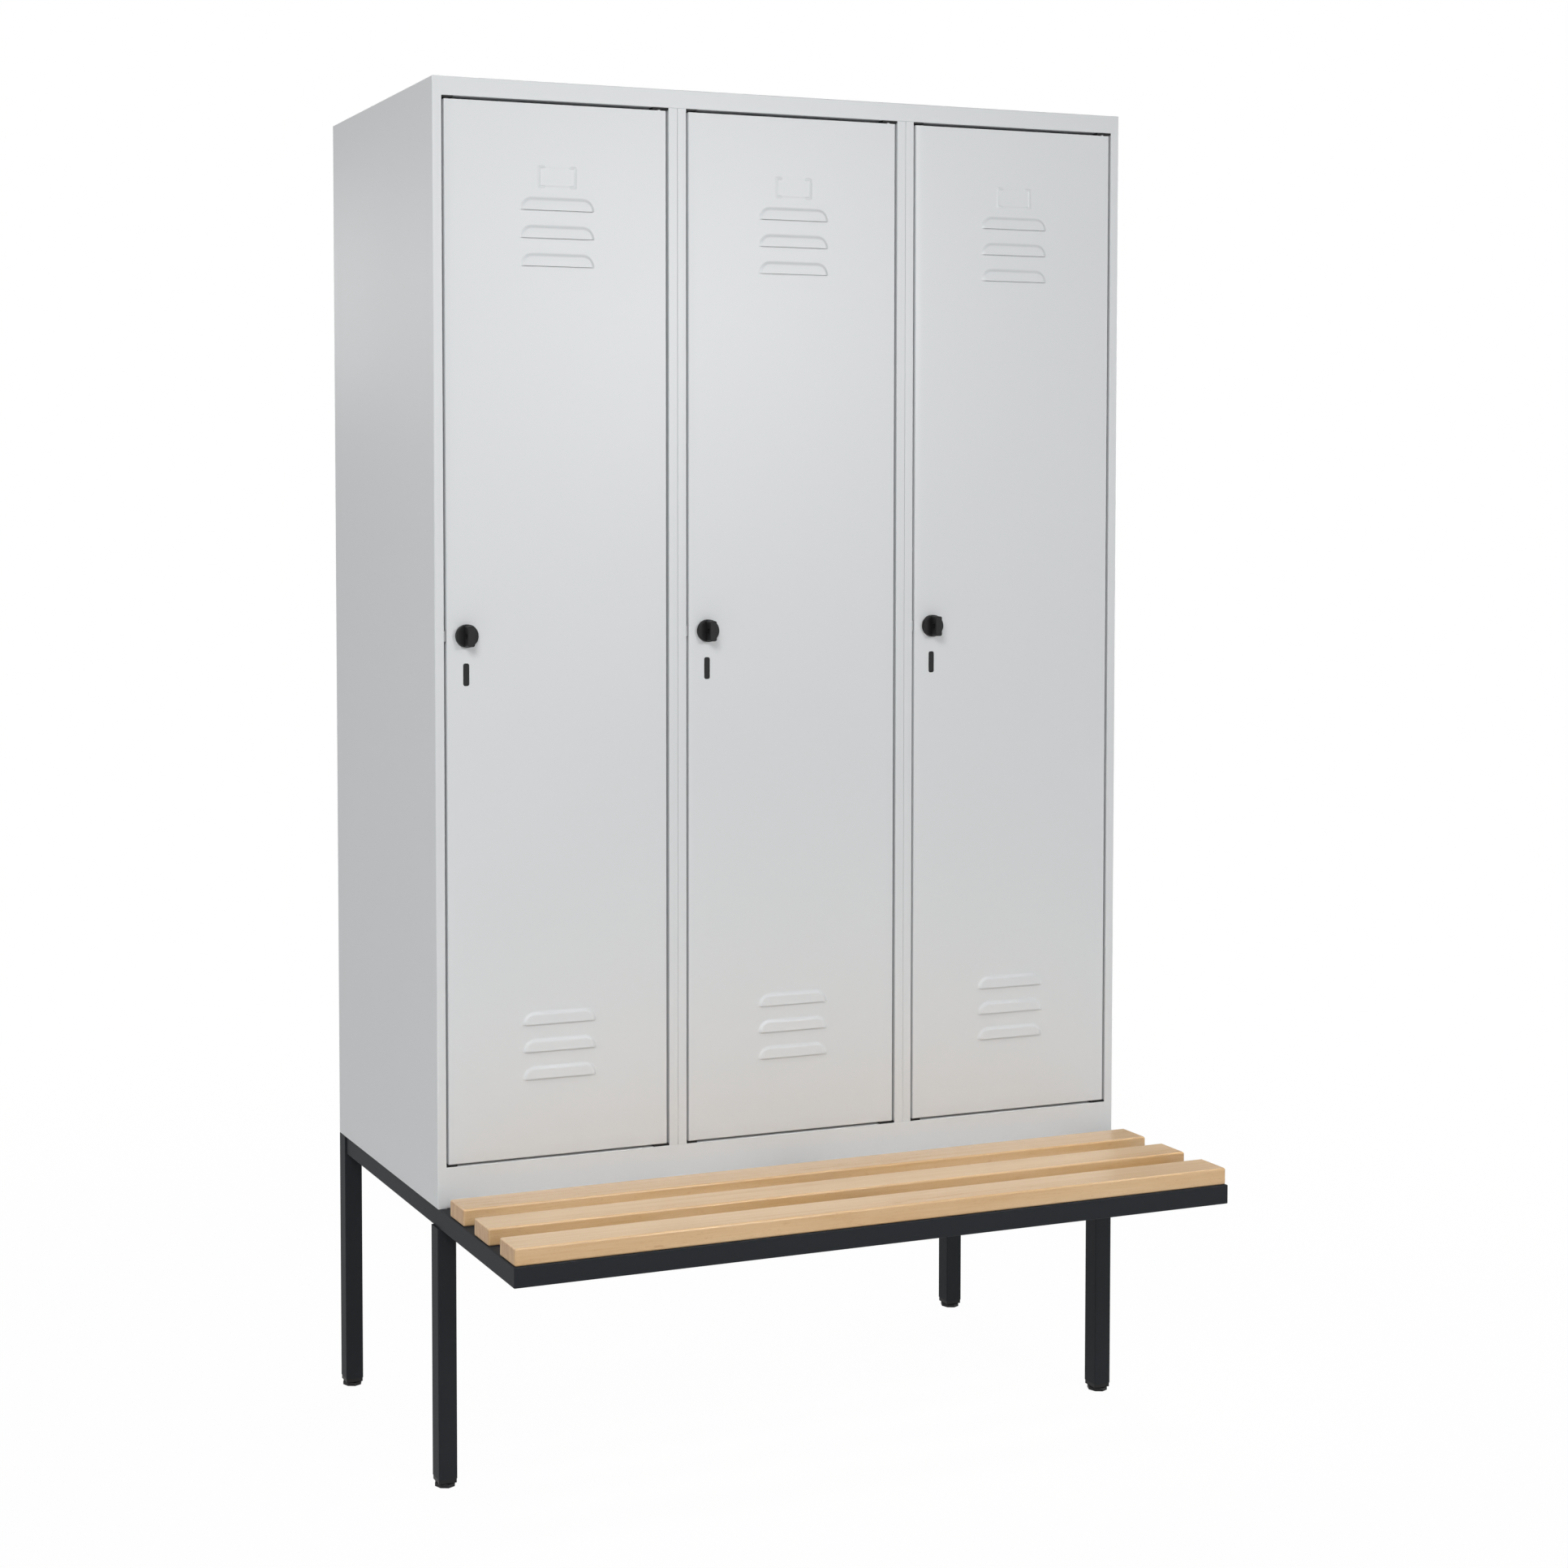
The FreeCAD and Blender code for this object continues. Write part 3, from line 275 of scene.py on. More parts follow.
@dataclass(frozen=True)
class PowderCoat:
    """Baked powder paint with a faint orange peel."""

    name: str
    colour: Colour
    rough: float
    depth: float
    shine: float
    cloud: Layer = Layer(2.4, 3.0)
    peel: Layer = Layer(520.0)
    speck: Layer = Layer(1900.0, 1.0)
    deep: float = 0.975
    pale: float = 1.02
    cloud_tone: float = 0.7
    cloud_rough: float = 0.07
    peel_rough: float = 0.08
    peel_height: float = 0.75

    def material(self) -> bpy.types.Material:
        """Build the paint.

        Returns:
            The finished material.
        """
        shade = Shade(self.name)
        cloud = shade.noise(self.cloud)
        peel = shade.noise(self.peel)
        speck = shade.noise(self.speck)
        share = self.cloud_tone * cloud + (1.0 - self.cloud_tone) * speck
        tone = shade.blend(share, toned(self.colour, self.deep), toned(self.colour, self.pale))
        shade.feed("Base Color", tone)
        uneven = shade.swing(cloud, self.cloud_rough) + shade.swing(peel, self.peel_rough)
        shade.feed("Roughness", self.rough + uneven)
        shade.raise_by(self.peel_height * peel + (1.0 - self.peel_height) * speck, self.depth)
        shade.hold(Specular_IOR_Level=self.shine)
        return shade.material


@dataclass(frozen=True)
class LacqueredBeech:
    """Pale beech under satin lacquer, with its grain along X and its growth lines upright."""

    name: str = "lacquered_beech"
    pale: Colour = (0.643, 0.446, 0.249)
    warm: Colour = (0.545, 0.331, 0.144)
    fleck: Colour = (0.4, 0.2, 0.085)
    drift: Layer = Layer(2.0, 3.0, stretch=(1.1, 9.0, 4.0))
    rings: Layer = Layer(3.0, 4.0, 0.6, (0.9, 75.0, 10.0))
    lines: Layer = Layer(3.0, 3.0, 0.6, (5.0, 420.0, 140.0))
    pores: Layer = Layer(1.0, 1.0, stretch=(150.0, 900.0, 700.0))
    flecks: Layer = Layer(1.0, stretch=(34.0, 150.0, 90.0))
    drift_tone: float = 0.4
    ring_tone: float = 0.42
    line_tone: float = 0.18
    tone_span: Span = (0.34, 0.66)
    pore_span: Span = (0.6, 0.74)
    pore_tone: float = 0.2
    fleck_span: Span = (0.67, 0.82)
    fleck_tone: float = 0.5
    end_facing: Span = (0.75, 0.95)
    end_span: Span = (0.36, 0.62)
    end_rings: float = 0.75
    end_tone: float = 0.6
    rough: float = 0.3
    line_rough: float = 0.14
    drift_rough: float = 0.1
    end_rough: float = 0.2
    shine: float = 0.35
    lacquer: float = 0.9
    end_lacquer: float = 0.6
    lacquer_rough: float = 0.22
    lacquer_index: float = 1.4
    line_height: float = 0.7
    depth: float = 0.00012
    strength: float = 0.6

    def material(self) -> bpy.types.Material:
        """Build the wood.

        Returns:
            The finished material.
        """
        shade = Shade(self.name)
        drift = shade.noise(self.drift)
        rings = shade.noise(self.rings)
        lines = shade.noise(self.lines)
        pores = shade.noise(self.pores)
        flecks = shade.noise(self.flecks)
        ends = shade.facing("X", self.end_facing)
        share = self.drift_tone * drift + self.ring_tone * rings + self.line_tone * lines
        tone = shade.blend(shade.step(share, self.tone_span), self.warm, self.pale)
        tone = shade.blend(self.pore_tone * shade.step(pores, self.pore_span), tone, self.fleck)
        tone = shade.blend(self.fleck_tone * shade.step(flecks, self.fleck_span), tone, self.fleck)
        end_share = self.end_rings * rings + (1.0 - self.end_rings) * lines
        end_tone = shade.blend(shade.step(end_share, self.end_span), self.fleck, self.warm)
        shade.feed("Base Color", shade.blend(self.end_tone * ends, tone, end_tone))
        uneven = shade.swing(lines, self.line_rough) + shade.swing(drift, self.drift_rough)
        shade.feed("Roughness", self.rough + uneven + self.end_rough * ends)
        shade.feed("Coat Weight", self.lacquer - self.end_lacquer * ends)
        height = self.line_height * lines + (1.0 - self.line_height) * pores
        shade.raise_by(height, self.depth, self.strength)
        shade.hold(Coat_Roughness=self.lacquer_rough, Coat_IOR=self.lacquer_index)
        shade.hold(Specular_IOR_Level=self.shine)
        return shade.material


@dataclass(frozen=True)
class GrainedPlastic:
    """Moulded plastic with a fine spark-eroded grain."""

    name: str
    colour: Colour
    rough: float
    shine: float = 0.22
    grain: Layer = Layer(2600.0)
    flow: Layer = Layer(90.0)
    pale: float = 1.5
    flow_tone: float = 0.5
    grain_tone: float = 0.3
    grain_rough: float = 0.12
    flow_rough: float = 0.06
    depth: float = 0.00006
    strength: float = 0.5

    def material(self) -> bpy.types.Material:
        """Build the plastic.

        Returns:
            The finished material.
        """
        shade = Shade(self.name)
        grain = shade.noise(self.grain)
        flow = shade.noise(self.flow)
        share = self.flow_tone * flow + self.grain_tone * grain
        shade.feed("Base Color", shade.blend(share, self.colour, toned(self.colour, self.pale)))
        uneven = shade.swing(grain, self.grain_rough) + shade.swing(flow, self.flow_rough)
        shade.feed("Roughness", self.rough + uneven)
        shade.raise_by(grain, self.depth, self.strength)
        shade.hold(Specular_IOR_Level=self.shine)
        return shade.material


@dataclass(frozen=True)
class ZincPlate:
    """Bright zinc plating with a faint spangle and drawn lines."""

    name: str = "zinc_plate"
    colour: Colour = (0.56, 0.57, 0.58)
    rough: float = 0.3
    spangle: Layer = Layer(240.0)
    drawn: Layer = Layer(1.0, stretch=(30.0, 900.0, 900.0))
    dull: float = 0.82
    spangle_rough: float = 0.16
    drawn_rough: float = 0.1
    depth: float = 0.00003
    strength: float = 0.5

    def material(self) -> bpy.types.Material:
        """Build the plating.

        Returns:
            The finished material.
        """
        shade = Shade(self.name)
        spangle = shade.noise(self.spangle)
        drawn = shade.noise(self.drawn)
        shade.feed("Base Color", shade.blend(spangle, toned(self.colour, self.dull), self.colour))
        uneven = shade.swing(spangle, self.spangle_rough) + shade.swing(drawn, self.drawn_rough)
        shade.feed("Roughness", self.rough + uneven)
        shade.raise_by(drawn, self.depth, self.strength)
        shade.hold(Metallic=1.0)
        return shade.material


def solid_edges(mesh: bpy.types.Mesh) -> None:
    """Shade a mesh smooth, with its sharp edges kept sharp.

    Args:
        mesh: The mesh to shade.
    """
    work = bmesh.new()
    work.from_mesh(mesh)
    for face in work.faces:
        face.smooth = True
    for edge in work.edges:
        folded = len(edge.link_faces) == 2 and edge.calc_face_angle(0.0) > math.radians(SHARP_FOLD)
        edge.smooth = not folded
    work.to_mesh(mesh)
    work.free()


def thickened(name: str, mesh: bpy.types.Mesh, thickness: float) -> bpy.types.Object:
    """Give a sheet its thickness, behind its face, as plain mesh.

    Args:
        name: The piece's name.
        mesh: The outer face of the sheet.
        thickness: The sheet's thickness in metres.

    Returns:
        The piece, linked to the scene.
    """
    piece = bpy.data.objects.new(name, mesh)
    bpy.context.scene.collection.objects.link(piece)
    wall = piece.modifiers.new("wall", "SOLIDIFY")
    wall.thickness = thickness
    wall.offset = -1.0
    wall.use_even_offset = True
    shown = piece.evaluated_get(bpy.context.evaluated_depsgraph_get())
    whole = bpy.data.meshes.new_from_object(shown)
    piece.modifiers.clear()
    piece.data = whole
    bpy.data.meshes.remove(mesh)
    whole.name = name
    solid_edges(whole)
    return piece


def ease(share: float) -> float:
    """A smooth step from 0 to 1."""
    share = min(1.0, max(0.0, share))
    return share * share * (3.0 - 2.0 * share)


def spaced(low: float, high: float, gap: float) -> list[float]:
    """Even steps from one value to another, no wider than a gap."""
    count = max(1, math.ceil((high - low) / gap - ROUNDING))
    return [low + (high - low) * k / count for k in range(count + 1)]


@dataclass
class DoorSkin:
    """A door pressed and folded from one sheet, measured in millimetres from its lower free corner."""

    bay: Bay
    # The folded sheet
    depth: float = 18.0
    returned: float = 12.0
    sheet: float = 0.9
    fold: float = 1.3
    fold_steps: int = 4
    # Louvres, in a lower and an upper bank
    louvre_width: float = 122.0
    louvre_height: float = 19.5
    louvre_lift: float = 3.2
    louvre_rim: float = 5.2
    louvre_slope: float = 0.12
    louvre_pitch: float = 42.0
    louvre_count: int = 3
    upper_drop: float = 160.4
    lower_rise: float = 120.4
    least_lift: float = 0.02
    # Label holder
    label_width: float = 62.0
    label_height: float = 32.0
    label_drop: float = 94.4
    label_rim: float = 3.0
    label_arm: float = 9.0
    label_lift: float = 0.8
    label_edge: float = 1.2
    label_sink: float = 0.3
    card_edge: float = 1.5
    # Knob's hole and the slot below it
    lock_inset: float = 31.4
    collar_radius: float = 9.2
    collar_turn: float = 10.0
    slot_width: float = 10.0
    slot_height: float = 34.3
    slot_drop: float = 58.5
    slot_round: float = 3.4
    slot_turn: float = 15.0
    # Lines of the face's mesh
    fine: float = 1.2
    past_return: float = 1.0
    under_slit: float = 4.0
    label_fine: float = 0.8
    label_margin: float = 1.6
    cell_side: float = 13.0
    lock_cell: float = 18.0
    slot_cell: float = 24.0
    lock_line: float = 80.0
    hinge_line: float = 60.0
    end_line: float = 60.0
    clearance: float = 60.0
    widest: float = 110.0
    # Taken from the door's solid
    origin: Vector = field(init=False)
    width: float = field(init=False)
    height: float = field(init=False)
    middle: float = field(init=False)
    lock_up: float = field(init=False)
    slot_up: float = field(init=False)
    slits: list[float] = field(init=False)

    def __post_init__(self) -> None:
        """Take the door's place and size from its solid."""
        low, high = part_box(self.node)
        self.origin = Vector((low.x, high.y - self.depth * MM, low.z))
        self.width = (high.x - low.x) / MM
        self.height = (high.z - low.z) / MM
        self.middle = self.width / 2
        self.lock_up = self.height / 2
        self.slot_up = self.lock_up - self.slot_drop
        top = self.height - self.upper_drop
        steps = range(self.louvre_count)
        self.slits = [self.lower_rise + k * self.louvre_pitch for k in steps]
        self.slits += [top - k * self.louvre_pitch for k in reversed(steps)]

    @property
    def node(self) -> str:
        """Name of the solid that this skin stands for."""
        return f"{self.bay.value}_door_panel"

    def hood(self, across: float, up: float) -> float:
        """How far a louvre stands out at a place.

        Args:
            across: Distance from the free edge.
            up: Distance from the lower edge.

        Returns:
            The lift in millimetres.
        """
        shoulder = self.louvre_width / 2 - self.louvre_height
        aside = max(abs(across - self.middle) - shoulder, 0.0)
        for slit in self.slits:
            rise = up - slit
            if 0.0 <= rise < self.louvre_height:
                inside = self.louvre_height - math.hypot(aside, rise)
                slope = 1.0 - self.louvre_slope * rise / self.louvre_height
                return self.louvre_lift * slope * ease(inside / self.louvre_rim)
        return 0.0

    def label(self, across: float, up: float) -> float:
        """How far the label holder's two hooks stand out at a place, or its card lies in.

        Args:
            across: Distance from the free edge.
            up: Distance from the lower edge.

        Returns:
            The lift in millimetres, below zero on the card.
        """
        half = self.label_rim / 2
        aside = abs(across - self.middle) - (self.label_width / 2 - half)
        level = abs(up - (self.height - self.label_drop - self.label_height / 2))
        level -= self.label_height / 2 - half
        post = abs(aside) if level <= 0.0 else math.hypot(aside, level)
        arm_end = half - self.label_arm
        arm = math.hypot(min(aside - arm_end, 0.0), level) if aside <= 0.0 else math.hypot(aside, level)
        lift = self.label_lift * ease((half + self.label_edge / 2 - min(post, arm)) / self.label_edge)
        card = self.label_sink * ease(-aside / self.card_edge) * ease(-level / self.card_edge)
        return lift - card * (1.0 - lift / self.label_lift)

    def lines_across(self) -> list[float]:
        """Space out the upright lines of the face's mesh.

        Returns:
            Their places, from the free edge to the hinge edge.
        """
        reach = self.louvre_width / 2 + 2 * self.fine
        lines = [self.fold, self.returned + self.past_return]
        lines += [self.lock_inset - self.cell_side, self.lock_inset + self.cell_side, self.lock_line]
        lines += spaced(self.middle - reach, self.middle + reach, self.fine)
        lines += [self.width - self.hinge_line, self.width - self.returned - self.past_return]
        return lines + [self.width - self.fold]

    def lines_up(self) -> list[float]:
        """Space out the level lines of the face's mesh.

        Returns:
            Their places, from the lower edge to the upper edge.
        """
        lines = [self.fold, self.returned + self.past_return, self.end_line]
        lines += [self.height - self.end_line, self.height - self.returned - self.past_return]
        lines += [self.height - self.fold]
        for slit in self.slits:
            lines += spaced(slit, slit + self.louvre_height + self.fine, self.fine)
            lines += [slit - self.under_slit]
        high = self.height - self.label_drop
        low = high - self.label_height
        lines += spaced(low - self.label_margin, high + self.label_margin, self.label_fine)
        lines += [self.slot_up - self.slot_cell, self.slot_up + self.slot_cell]
        lines += [self.lock_up - self.lock_cell, self.lock_up + self.lock_cell]
        below, above = self.slits[self.louvre_count - 1], self.slits[self.louvre_count]
        lines += spaced(below + self.clearance, self.slot_up - self.clearance, self.widest)
        lines += spaced(self.lock_up + self.clearance, above - self.clearance, self.widest)
        return sorted(lines)

    def slot_loop(self) -> list[Point]:
        """Draw the slot below the knob.

        Returns:
            Its outline, anticlockwise from its lower left.
        """
        wide = self.slot_width / 2 - self.slot_round
        tall = self.slot_height / 2 - self.slot_round
        loop = []
        for side, level, start in ((-1, -1, 180.0), (1, -1, 270.0), (1, 1, 0.0), (-1, 1, 90.0)):
            for turn in spaced(start, start + 90.0, self.slot_turn):
                angle = math.radians(turn)
                loop.append((
                    self.lock_inset + side * wide + self.slot_round * math.cos(angle),
                    self.slot_up + level * tall + self.slot_round * math.sin(angle),
                ))
        return loop

    def lock_loop(self) -> list[Point]:
        """Draw the hole behind the knob.

        Returns:
            Its outline, anticlockwise from its left.
        """
        turns = [math.radians(turn) for turn in spaced(180.0, 540.0, self.collar_turn)[:-1]]
        radius = self.collar_radius
        return [(self.lock_inset + radius * math.cos(t), self.lock_up + radius * math.sin(t)) for t in turns]

    def pierce(self, work: bmesh.types.BMesh, corners: list[bmesh.types.BMVert], loop: list[Point]) -> None:
        """Fill one cell of the face round a hole, from each point of its rim to the nearest corner.

        Args:
            work: The face's mesh.
            corners: The cell's four corners, anticlockwise from the lower left.
            loop: The hole's outline, anticlockwise.
        """
        ring = [work.verts.new((x, 0.0, z)) for x, z in loop]
        centre = sum((v.co for v in ring), Vector()) / len(ring)
        nearest = []
        for vert in ring:
            away = vert.co - centre
            left, right = (0, 1) if away.z <= 0 else (3, 2)
            nearest.append(corners[right if away.x > 0 else left])
        for k, vert in enumerate(ring):
            after = (k + 1) % len(ring)
            work.faces.new((vert, nearest[k], ring[after]))
            if nearest[after] != nearest[k]:
                work.faces.new((ring[after], nearest[k], nearest[after]))

    def face_mesh(self) -> bpy.types.Mesh:
        """Build the door's outer face with its folded edges.

        Returns:
            The face as an open sheet, in metres.
        """
        work = bmesh.new()
        across, up = self.lines_across(), self.lines_up()
        flat: dict[tuple[int, int], bmesh.types.BMVert] = {}
        raised: dict[tuple[int, int], bmesh.types.BMVert] = {}
        for j, z in enumerate(up):
            on_slit = any(abs(z - slit) < TOUCH for slit in self.slits)
            for i, x in enumerate(across):
                lift = self.hood(x, z)
                if on_slit and lift > self.least_lift:
                    raised[i, j] = work.verts.new((x, -lift, z))
                    lift = 0.0
                flat[i, j] = work.verts.new((x, -lift - self.label(x, z), z))
        holes = [(self.slot_up, self.slot_loop()), (self.lock_up, self.lock_loop())]
        for j in range(len(up) - 1):
            for i in range(len(across) - 1):
                low = [raised.get(key, flat[key]) for key in ((i, j), (i + 1, j))]
                corners = [*low, flat[i + 1, j + 1], flat[i, j + 1]]
                beside = across[i] < self.lock_inset < across[i + 1]
                inside = [loop for level, loop in holes if beside and up[j] < level < up[j + 1]]
                if inside:
                    self.pierce(work, corners, inside[0])
                else:
                    work.faces.new(corners)
        last_i, last_j = len(across) - 1, len(up) - 1
        edge = [(i, 0) for i in range(last_i)] + [(last_i, j) for j in range(last_j)]
        edge += [(i, last_j) for i in range(last_i, 0, -1)] + [(0, j) for j in range(last_j, 0, -1)]
        self.fold_edges(work, [flat[key] for key in edge])
        bmesh.ops.scale(work, vec=(MM, MM, MM), verts=work.verts)
        bmesh.ops.translate(work, vec=self.origin, verts=work.verts)
        mesh = bpy.data.meshes.new(f"{self.bay.value}_door_skin")
        work.to_mesh(mesh)
        work.free()
        return mesh

    def fold_profile(self) -> list[Point]:
        """Draw the folded edge, from the face to the end of its return.

        Returns:
            Its points, as their distances in from the door's outline and back from its face.
        """
        turns = [math.pi / 2 * k / self.fold_steps for k in range(self.fold_steps + 1)]
        near = [(self.fold * (1.0 - math.sin(t)), self.fold * (1.0 - math.cos(t))) for t in turns[1:]]
        rear = [
            (self.fold * (1.0 - math.cos(t)), self.depth - self.fold * (1.0 - math.sin(t)))
            for t in turns
        ]
        return [*near, *rear, (self.returned, self.depth)]

    def drawn_in(self, along: float, size: float, inset: float) -> float:
        """Move a place on the face's rim in or out with the fold.

        Args:
            along: The place on the rim, along one axis.
            size: The door's size along that axis.
            inset: The fold's distance in from the outline.

        Returns:
            The place at that point of the fold.
        """
        if abs(along - self.fold) < TOUCH:
            return inset
        if abs(along - size + self.fold) < TOUCH:
            return size - inset
        return min(max(along, inset), size - inset)

    def fold_edges(self, work: bmesh.types.BMesh, rim: list[bmesh.types.BMVert]) -> None:
        """Fold the sheet back round the face's edge, and in again at the rear.

        Args:
            work: The face's mesh.
            rim: The vertices round the face, anticlockwise.
        """
        before = rim
        for inset, back in self.fold_profile():
            ring = []
            for vert in rim:
                x = self.drawn_in(vert.co.x, self.width, inset)
                z = self.drawn_in(vert.co.z, self.height, inset)
                ring.append(work.verts.new((x, back, z)))
            for k in range(len(rim)):
                after = (k + 1) % len(rim)
                work.faces.new((before[after], before[k], ring[k], ring[after]))
            before = ring

    def build(self, paint: bpy.types.Material) -> bpy.types.Object:
        """Make the skin, paint it and hang it on its door.

        Args:
            paint: The cabinet's paint.

        Returns:
            The finished piece.
        """
        piece = thickened(f"{self.bay.value}_door_skin", self.face_mesh(), self.sheet * MM)
        piece.data.materials.append(paint)
        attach(piece, f"{self.bay.value}_door")
        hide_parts(self.node)
        return piece


@dataclass
class Finishes:
    """The finishes of the unit, by the record's material slots."""

    cabinet: PowderCoat = PowderCoat(
        "light_grey_powder_coat", colour=(0.66, 0.677, 0.69), rough=0.38, depth=0.00006, shine=0.5,
    )
    tubes: PowderCoat = PowderCoat(
        "anthracite_powder_coat", colour=(0.0145, 0.0165, 0.0195), rough=0.6, depth=0.00008, shine=0.14,
    )
    slats: LacqueredBeech = LacqueredBeech()
    plastic: GrainedPlastic = GrainedPlastic("black_plastic_grain", colour=(0.0075, 0.0075, 0.008), rough=0.5)
    plating: ZincPlate = ZincPlate()
    dull_plating: ZincPlate = ZincPlate("dull_zinc_plate", colour=(0.24, 0.245, 0.25), rough=0.5)

    def build(self) -> dict[str, bpy.types.Material]:
        """Make every finish.

        Returns:
            The materials by slot, or by node where one node differs from its slot.
        """
        return {
            "cabinet_paint": self.cabinet.material(),
            "frame_paint": self.tubes.material(),
            "beech": self.slats.material(),
            "black_plastic": self.plastic.material(),
            "plated_steel": self.plating.material(),
            "strike_plates": self.dull_plating.material(),
        }


@dataclass
class Carcass:
    """The solids that show as they are: shell, frame, slats and small parts."""

    finishes: dict[str, bpy.types.Material]

    def dress(self) -> dict[str, str]:
        """Give each solid the finish of its slot.

        Returns:
            The finishes' names by node.
        """
        worn = {}
        for row in frame["record"]["subparts"]:
            node, slot = row["node"], row["material_slot"]
            finish = self.finishes.get(node, self.finishes[slot])
            coats = frame["nodes"][node].data.materials
            coats.clear()
            coats.append(finish)
            worn[node] = finish.name
        return worn


def turned_to(thing: bpy.types.Object, place: Place, aim: Place, front: str) -> None:
    """Put a thing of the studio in its place and turn it to a point.

    Args:
        thing: The lamp or card.
        place: Where it goes.
        aim: The point that it faces.
        front: Its own axis that faces the point.
    """
    thing.location = place
    thing.rotation_mode = "QUATERNION"
    thing.rotation_quaternion = (Vector(aim) - Vector(place)).to_track_quat(front, "Y")


@dataclass(frozen=True)
class Lamp:
    """A soft square lamp that looks at the unit."""

    name: str
    place: Place
    aim: Place
    size: tuple[float, float]
    power: float
    spread: float = 180.0

    def build(self) -> None:
        """Hang the lamp."""
        data = bpy.data.lights.new(self.name, "AREA")
        data.shape = "RECTANGLE"
        data.size, data.size_y = self.size
        data.energy = self.power
        data.spread = math.radians(self.spread)
        lamp = bpy.data.objects.new(self.name, data)
        turned_to(lamp, self.place, self.aim, "-Z")
        bpy.context.scene.collection.objects.link(lamp)


LAMPS = (
    Lamp("gloss_lamp", place=(1.38, -3.55, 2.17), aim=(-0.2, -0.1, 1.8), size=(0.8, 0.8), power=36.0),
    Lamp("left_lamp", place=(-2.1, -2.9, 2.9), aim=(-0.2, 0.0, 1.2), size=(1.2, 1.2), power=60.5),
    Lamp("low_lamp", place=(0.1, -3.2, 0.75), aim=(0.0, 0.0, 0.7), size=(1.2, 1.0), power=6.4),
    Lamp(
        "seat_lamp", place=(0.0, -0.75, 2.2), aim=(0.0, -0.3, 0.45), size=(1.7, 0.25),
        power=1.18, spread=26.0,
    ),
    Lamp("side_lamp", place=(-3.2, 0.3, 1.5), aim=(-0.6, 0.15, 1.2), size=(1.4, 1.4), power=10.2),
    Lamp("rear_left_lamp", place=(-1.85, 3.9, 2.2), aim=(-0.6, 0.15, 1.85), size=(1.0, 0.6), power=3.4),
    Lamp("right_lamp", place=(3.4, 0.6, 1.8), aim=(0.6, 0.2, 1.0), size=(1.4, 1.4), power=36.0),
    Lamp("back_lamp", place=(0.9, 3.8, 2.0), aim=(0.0, 0.4, 1.1), size=(1.4, 1.4), power=48.0),
    Lamp("roof_lamp", place=(0.3, 1.3, 4.3), aim=(0.0, 0.2, 2.1), size=(1.6, 1.2), power=34.0),
)


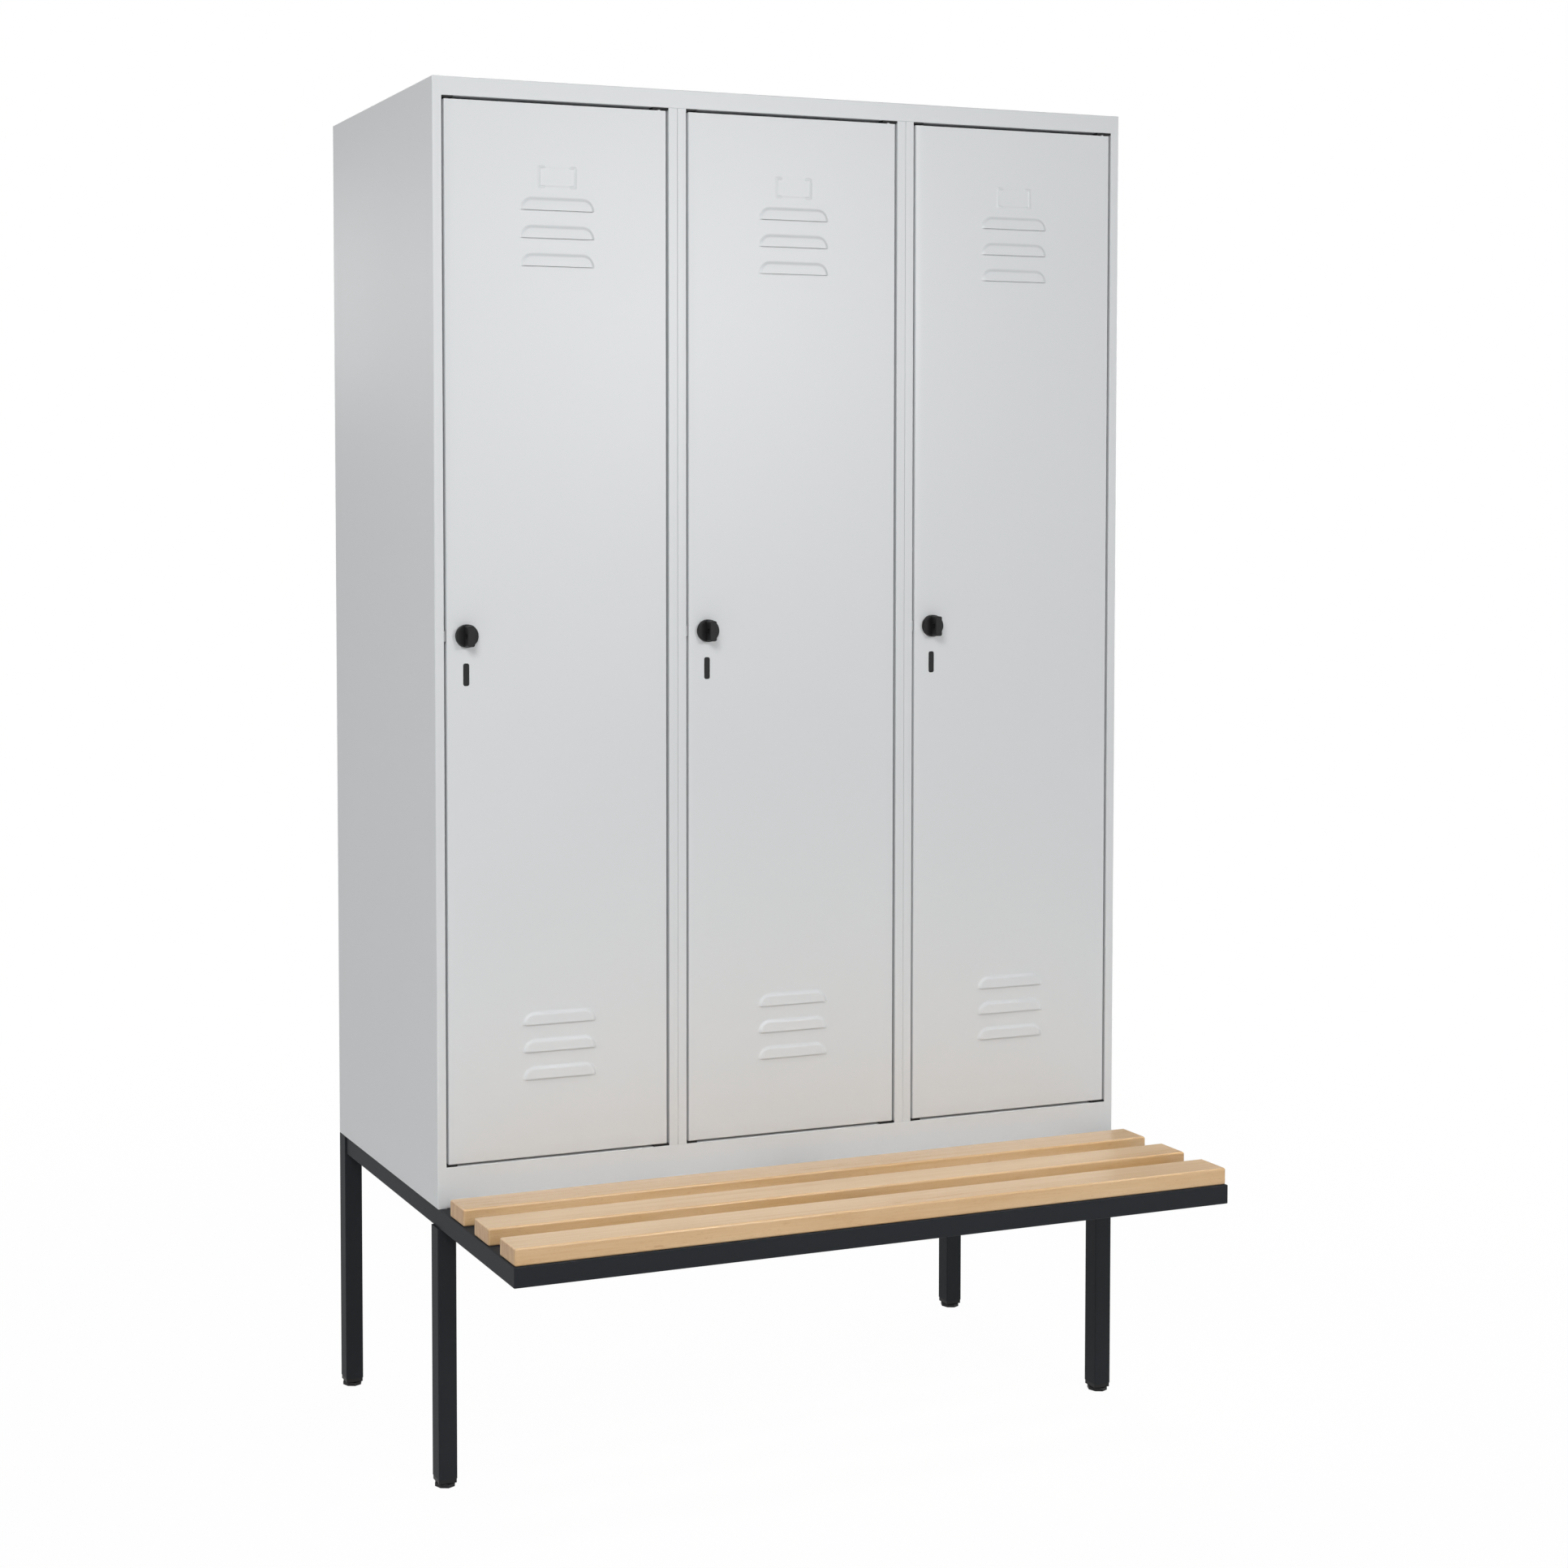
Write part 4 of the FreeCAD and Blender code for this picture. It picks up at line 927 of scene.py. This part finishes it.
@dataclass
class Studio:
    """Camera, lamps, white floor, grey card and world."""

    # Camera, in metres, degrees and millimetres
    place: Place = (-1.8165, -3.5464, 1.4732)
    yaw: float = 19.97
    pitch: float = 2.5382
    roll: float = -0.2718
    lens: float = 56.237
    sensor: float = 36.0
    shift: tuple[float, float] = (0.2077, -0.1)
    # Floor, with the distances over which its shadow fades out
    floor_reach: float = 30.0
    floor_grey: float = 0.82
    shadow_clear: float = 0.975
    shadow_fade: Span = (1.2, 3.5)
    # Grey card
    card_place: Place = (3.54, 3.96, 1.79)
    card_aim: Place = (0.5, -0.3, 0.456)
    card_side: float = 2.3
    card_grey: float = 0.26
    # Light
    world_level: float = 0.17
    lamps: tuple[Lamp, ...] = LAMPS

    def camera(self) -> None:
        """Set the camera where the photograph was taken from."""
        yaw, pitch, roll = (math.radians(turn) for turn in (self.yaw, self.pitch, self.roll))
        ahead = Vector((math.sin(yaw) * math.cos(pitch), math.cos(yaw) * math.cos(pitch), -math.sin(pitch)))
        right = Vector((math.cos(yaw), -math.sin(yaw), 0.0))
        up = right.cross(ahead)
        side = right * math.cos(roll) + up * math.sin(roll)
        top = up * math.cos(roll) - right * math.sin(roll)
        data = bpy.data.cameras.new("camera")
        data.lens = self.lens
        data.sensor_width = self.sensor
        data.shift_x, data.shift_y = self.shift
        camera = bpy.data.objects.new("camera", data)
        turn = Matrix((side, top, -ahead)).transposed().to_4x4()
        camera.matrix_world = Matrix.Translation(self.place) @ turn
        bpy.context.scene.collection.objects.link(camera)
        bpy.context.scene.camera = camera

    def sheet(self, name: str, reach: float) -> bpy.types.Object:
        """Lay a flat square of the studio, which isn't part of the unit.

        Args:
            name: The sheet's name.
            reach: Half the length of its sides.

        Returns:
            The sheet, level at the origin.
        """
        mesh = bpy.data.meshes.new(name)
        corners = [(-reach, -reach, 0), (reach, -reach, 0), (reach, reach, 0), (-reach, reach, 0)]
        mesh.from_pydata(corners, [], [(0, 1, 2, 3)])
        sheet = bpy.data.objects.new(name, mesh)
        bpy.context.scene.collection.objects.link(sheet)
        return sheet

    def floor(self) -> None:
        """Lay a white floor that keeps a faint shadow near the unit."""
        ground = self.sheet("floor", self.floor_reach)
        shade = Shade("white_floor")
        grey = (*toned(WHITE[:3], self.floor_grey), 1.0)
        shade.hold(Base_Color=grey, Roughness=1.0, Specular_IOR_Level=0.0)
        away = shade.node("VectorMath", {"operation": "LENGTH"}, {0: shade.place()}, "Value")
        clear = self.shadow_clear + (1.0 - self.shadow_clear) * shade.step(away, self.shadow_fade)
        glow = shade.node("Emission", None, {"Color": WHITE, "Strength": 1.0})
        share = clear * shade.backdrop_rays()
        shade.finish(shade.node("MixShader", None, {0: share, 1: shade.body, 2: glow}))
        ground.data.materials.append(shade.material)

    def grey_card(self) -> None:
        """Stand a grey card far behind the seat's right end, which only gloss shows."""
        card = self.sheet("grey_card", self.card_side / 2)
        turned_to(card, self.card_place, self.card_aim, "Z")
        card.visible_camera = False
        card.visible_diffuse = False
        card.visible_transmission = False
        card.visible_shadow = False
        material = bpy.data.materials.new("grey_card")
        material.use_nodes = True
        web = Web(material.node_tree, "OutputMaterial")
        web.finish(web.node("Emission", None, {"Color": WHITE, "Strength": self.card_grey}))
        card.data.materials.append(material)

    def world(self) -> None:
        """Make a white surround that lights the unit softly."""
        world = bpy.data.worlds.new("surround")
        bpy.context.scene.world = world
        world.use_nodes = True
        web = Web(world.node_tree, "OutputWorld")
        level = self.world_level + (1.0 - self.world_level) * web.backdrop_rays()
        web.finish(web.node("Background", None, {"Color": WHITE, "Strength": level}))

    def build(self) -> None:
        """Set up the camera, the surround and the lamps."""
        bpy.context.scene.view_settings.view_transform = "Standard"
        self.camera()
        self.floor()
        self.grey_card()
        self.world()
        for lamp in self.lamps:
            lamp.build()


def main() -> None:
    """Build and dress the unit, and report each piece."""
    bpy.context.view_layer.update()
    finishes = Finishes().build()
    for node, finish in Carcass(finishes).dress().items():
        log.info("%s: %s", node, finish)
    for bay in Bay:
        skin = DoorSkin(bay).build(finishes["cabinet_paint"])
        log.info("%s: %d faces", skin.name, len(skin.data.polygons))
    Studio().build()


if __name__ == "__main__":
    logging.basicConfig(level=logging.INFO)
    main()
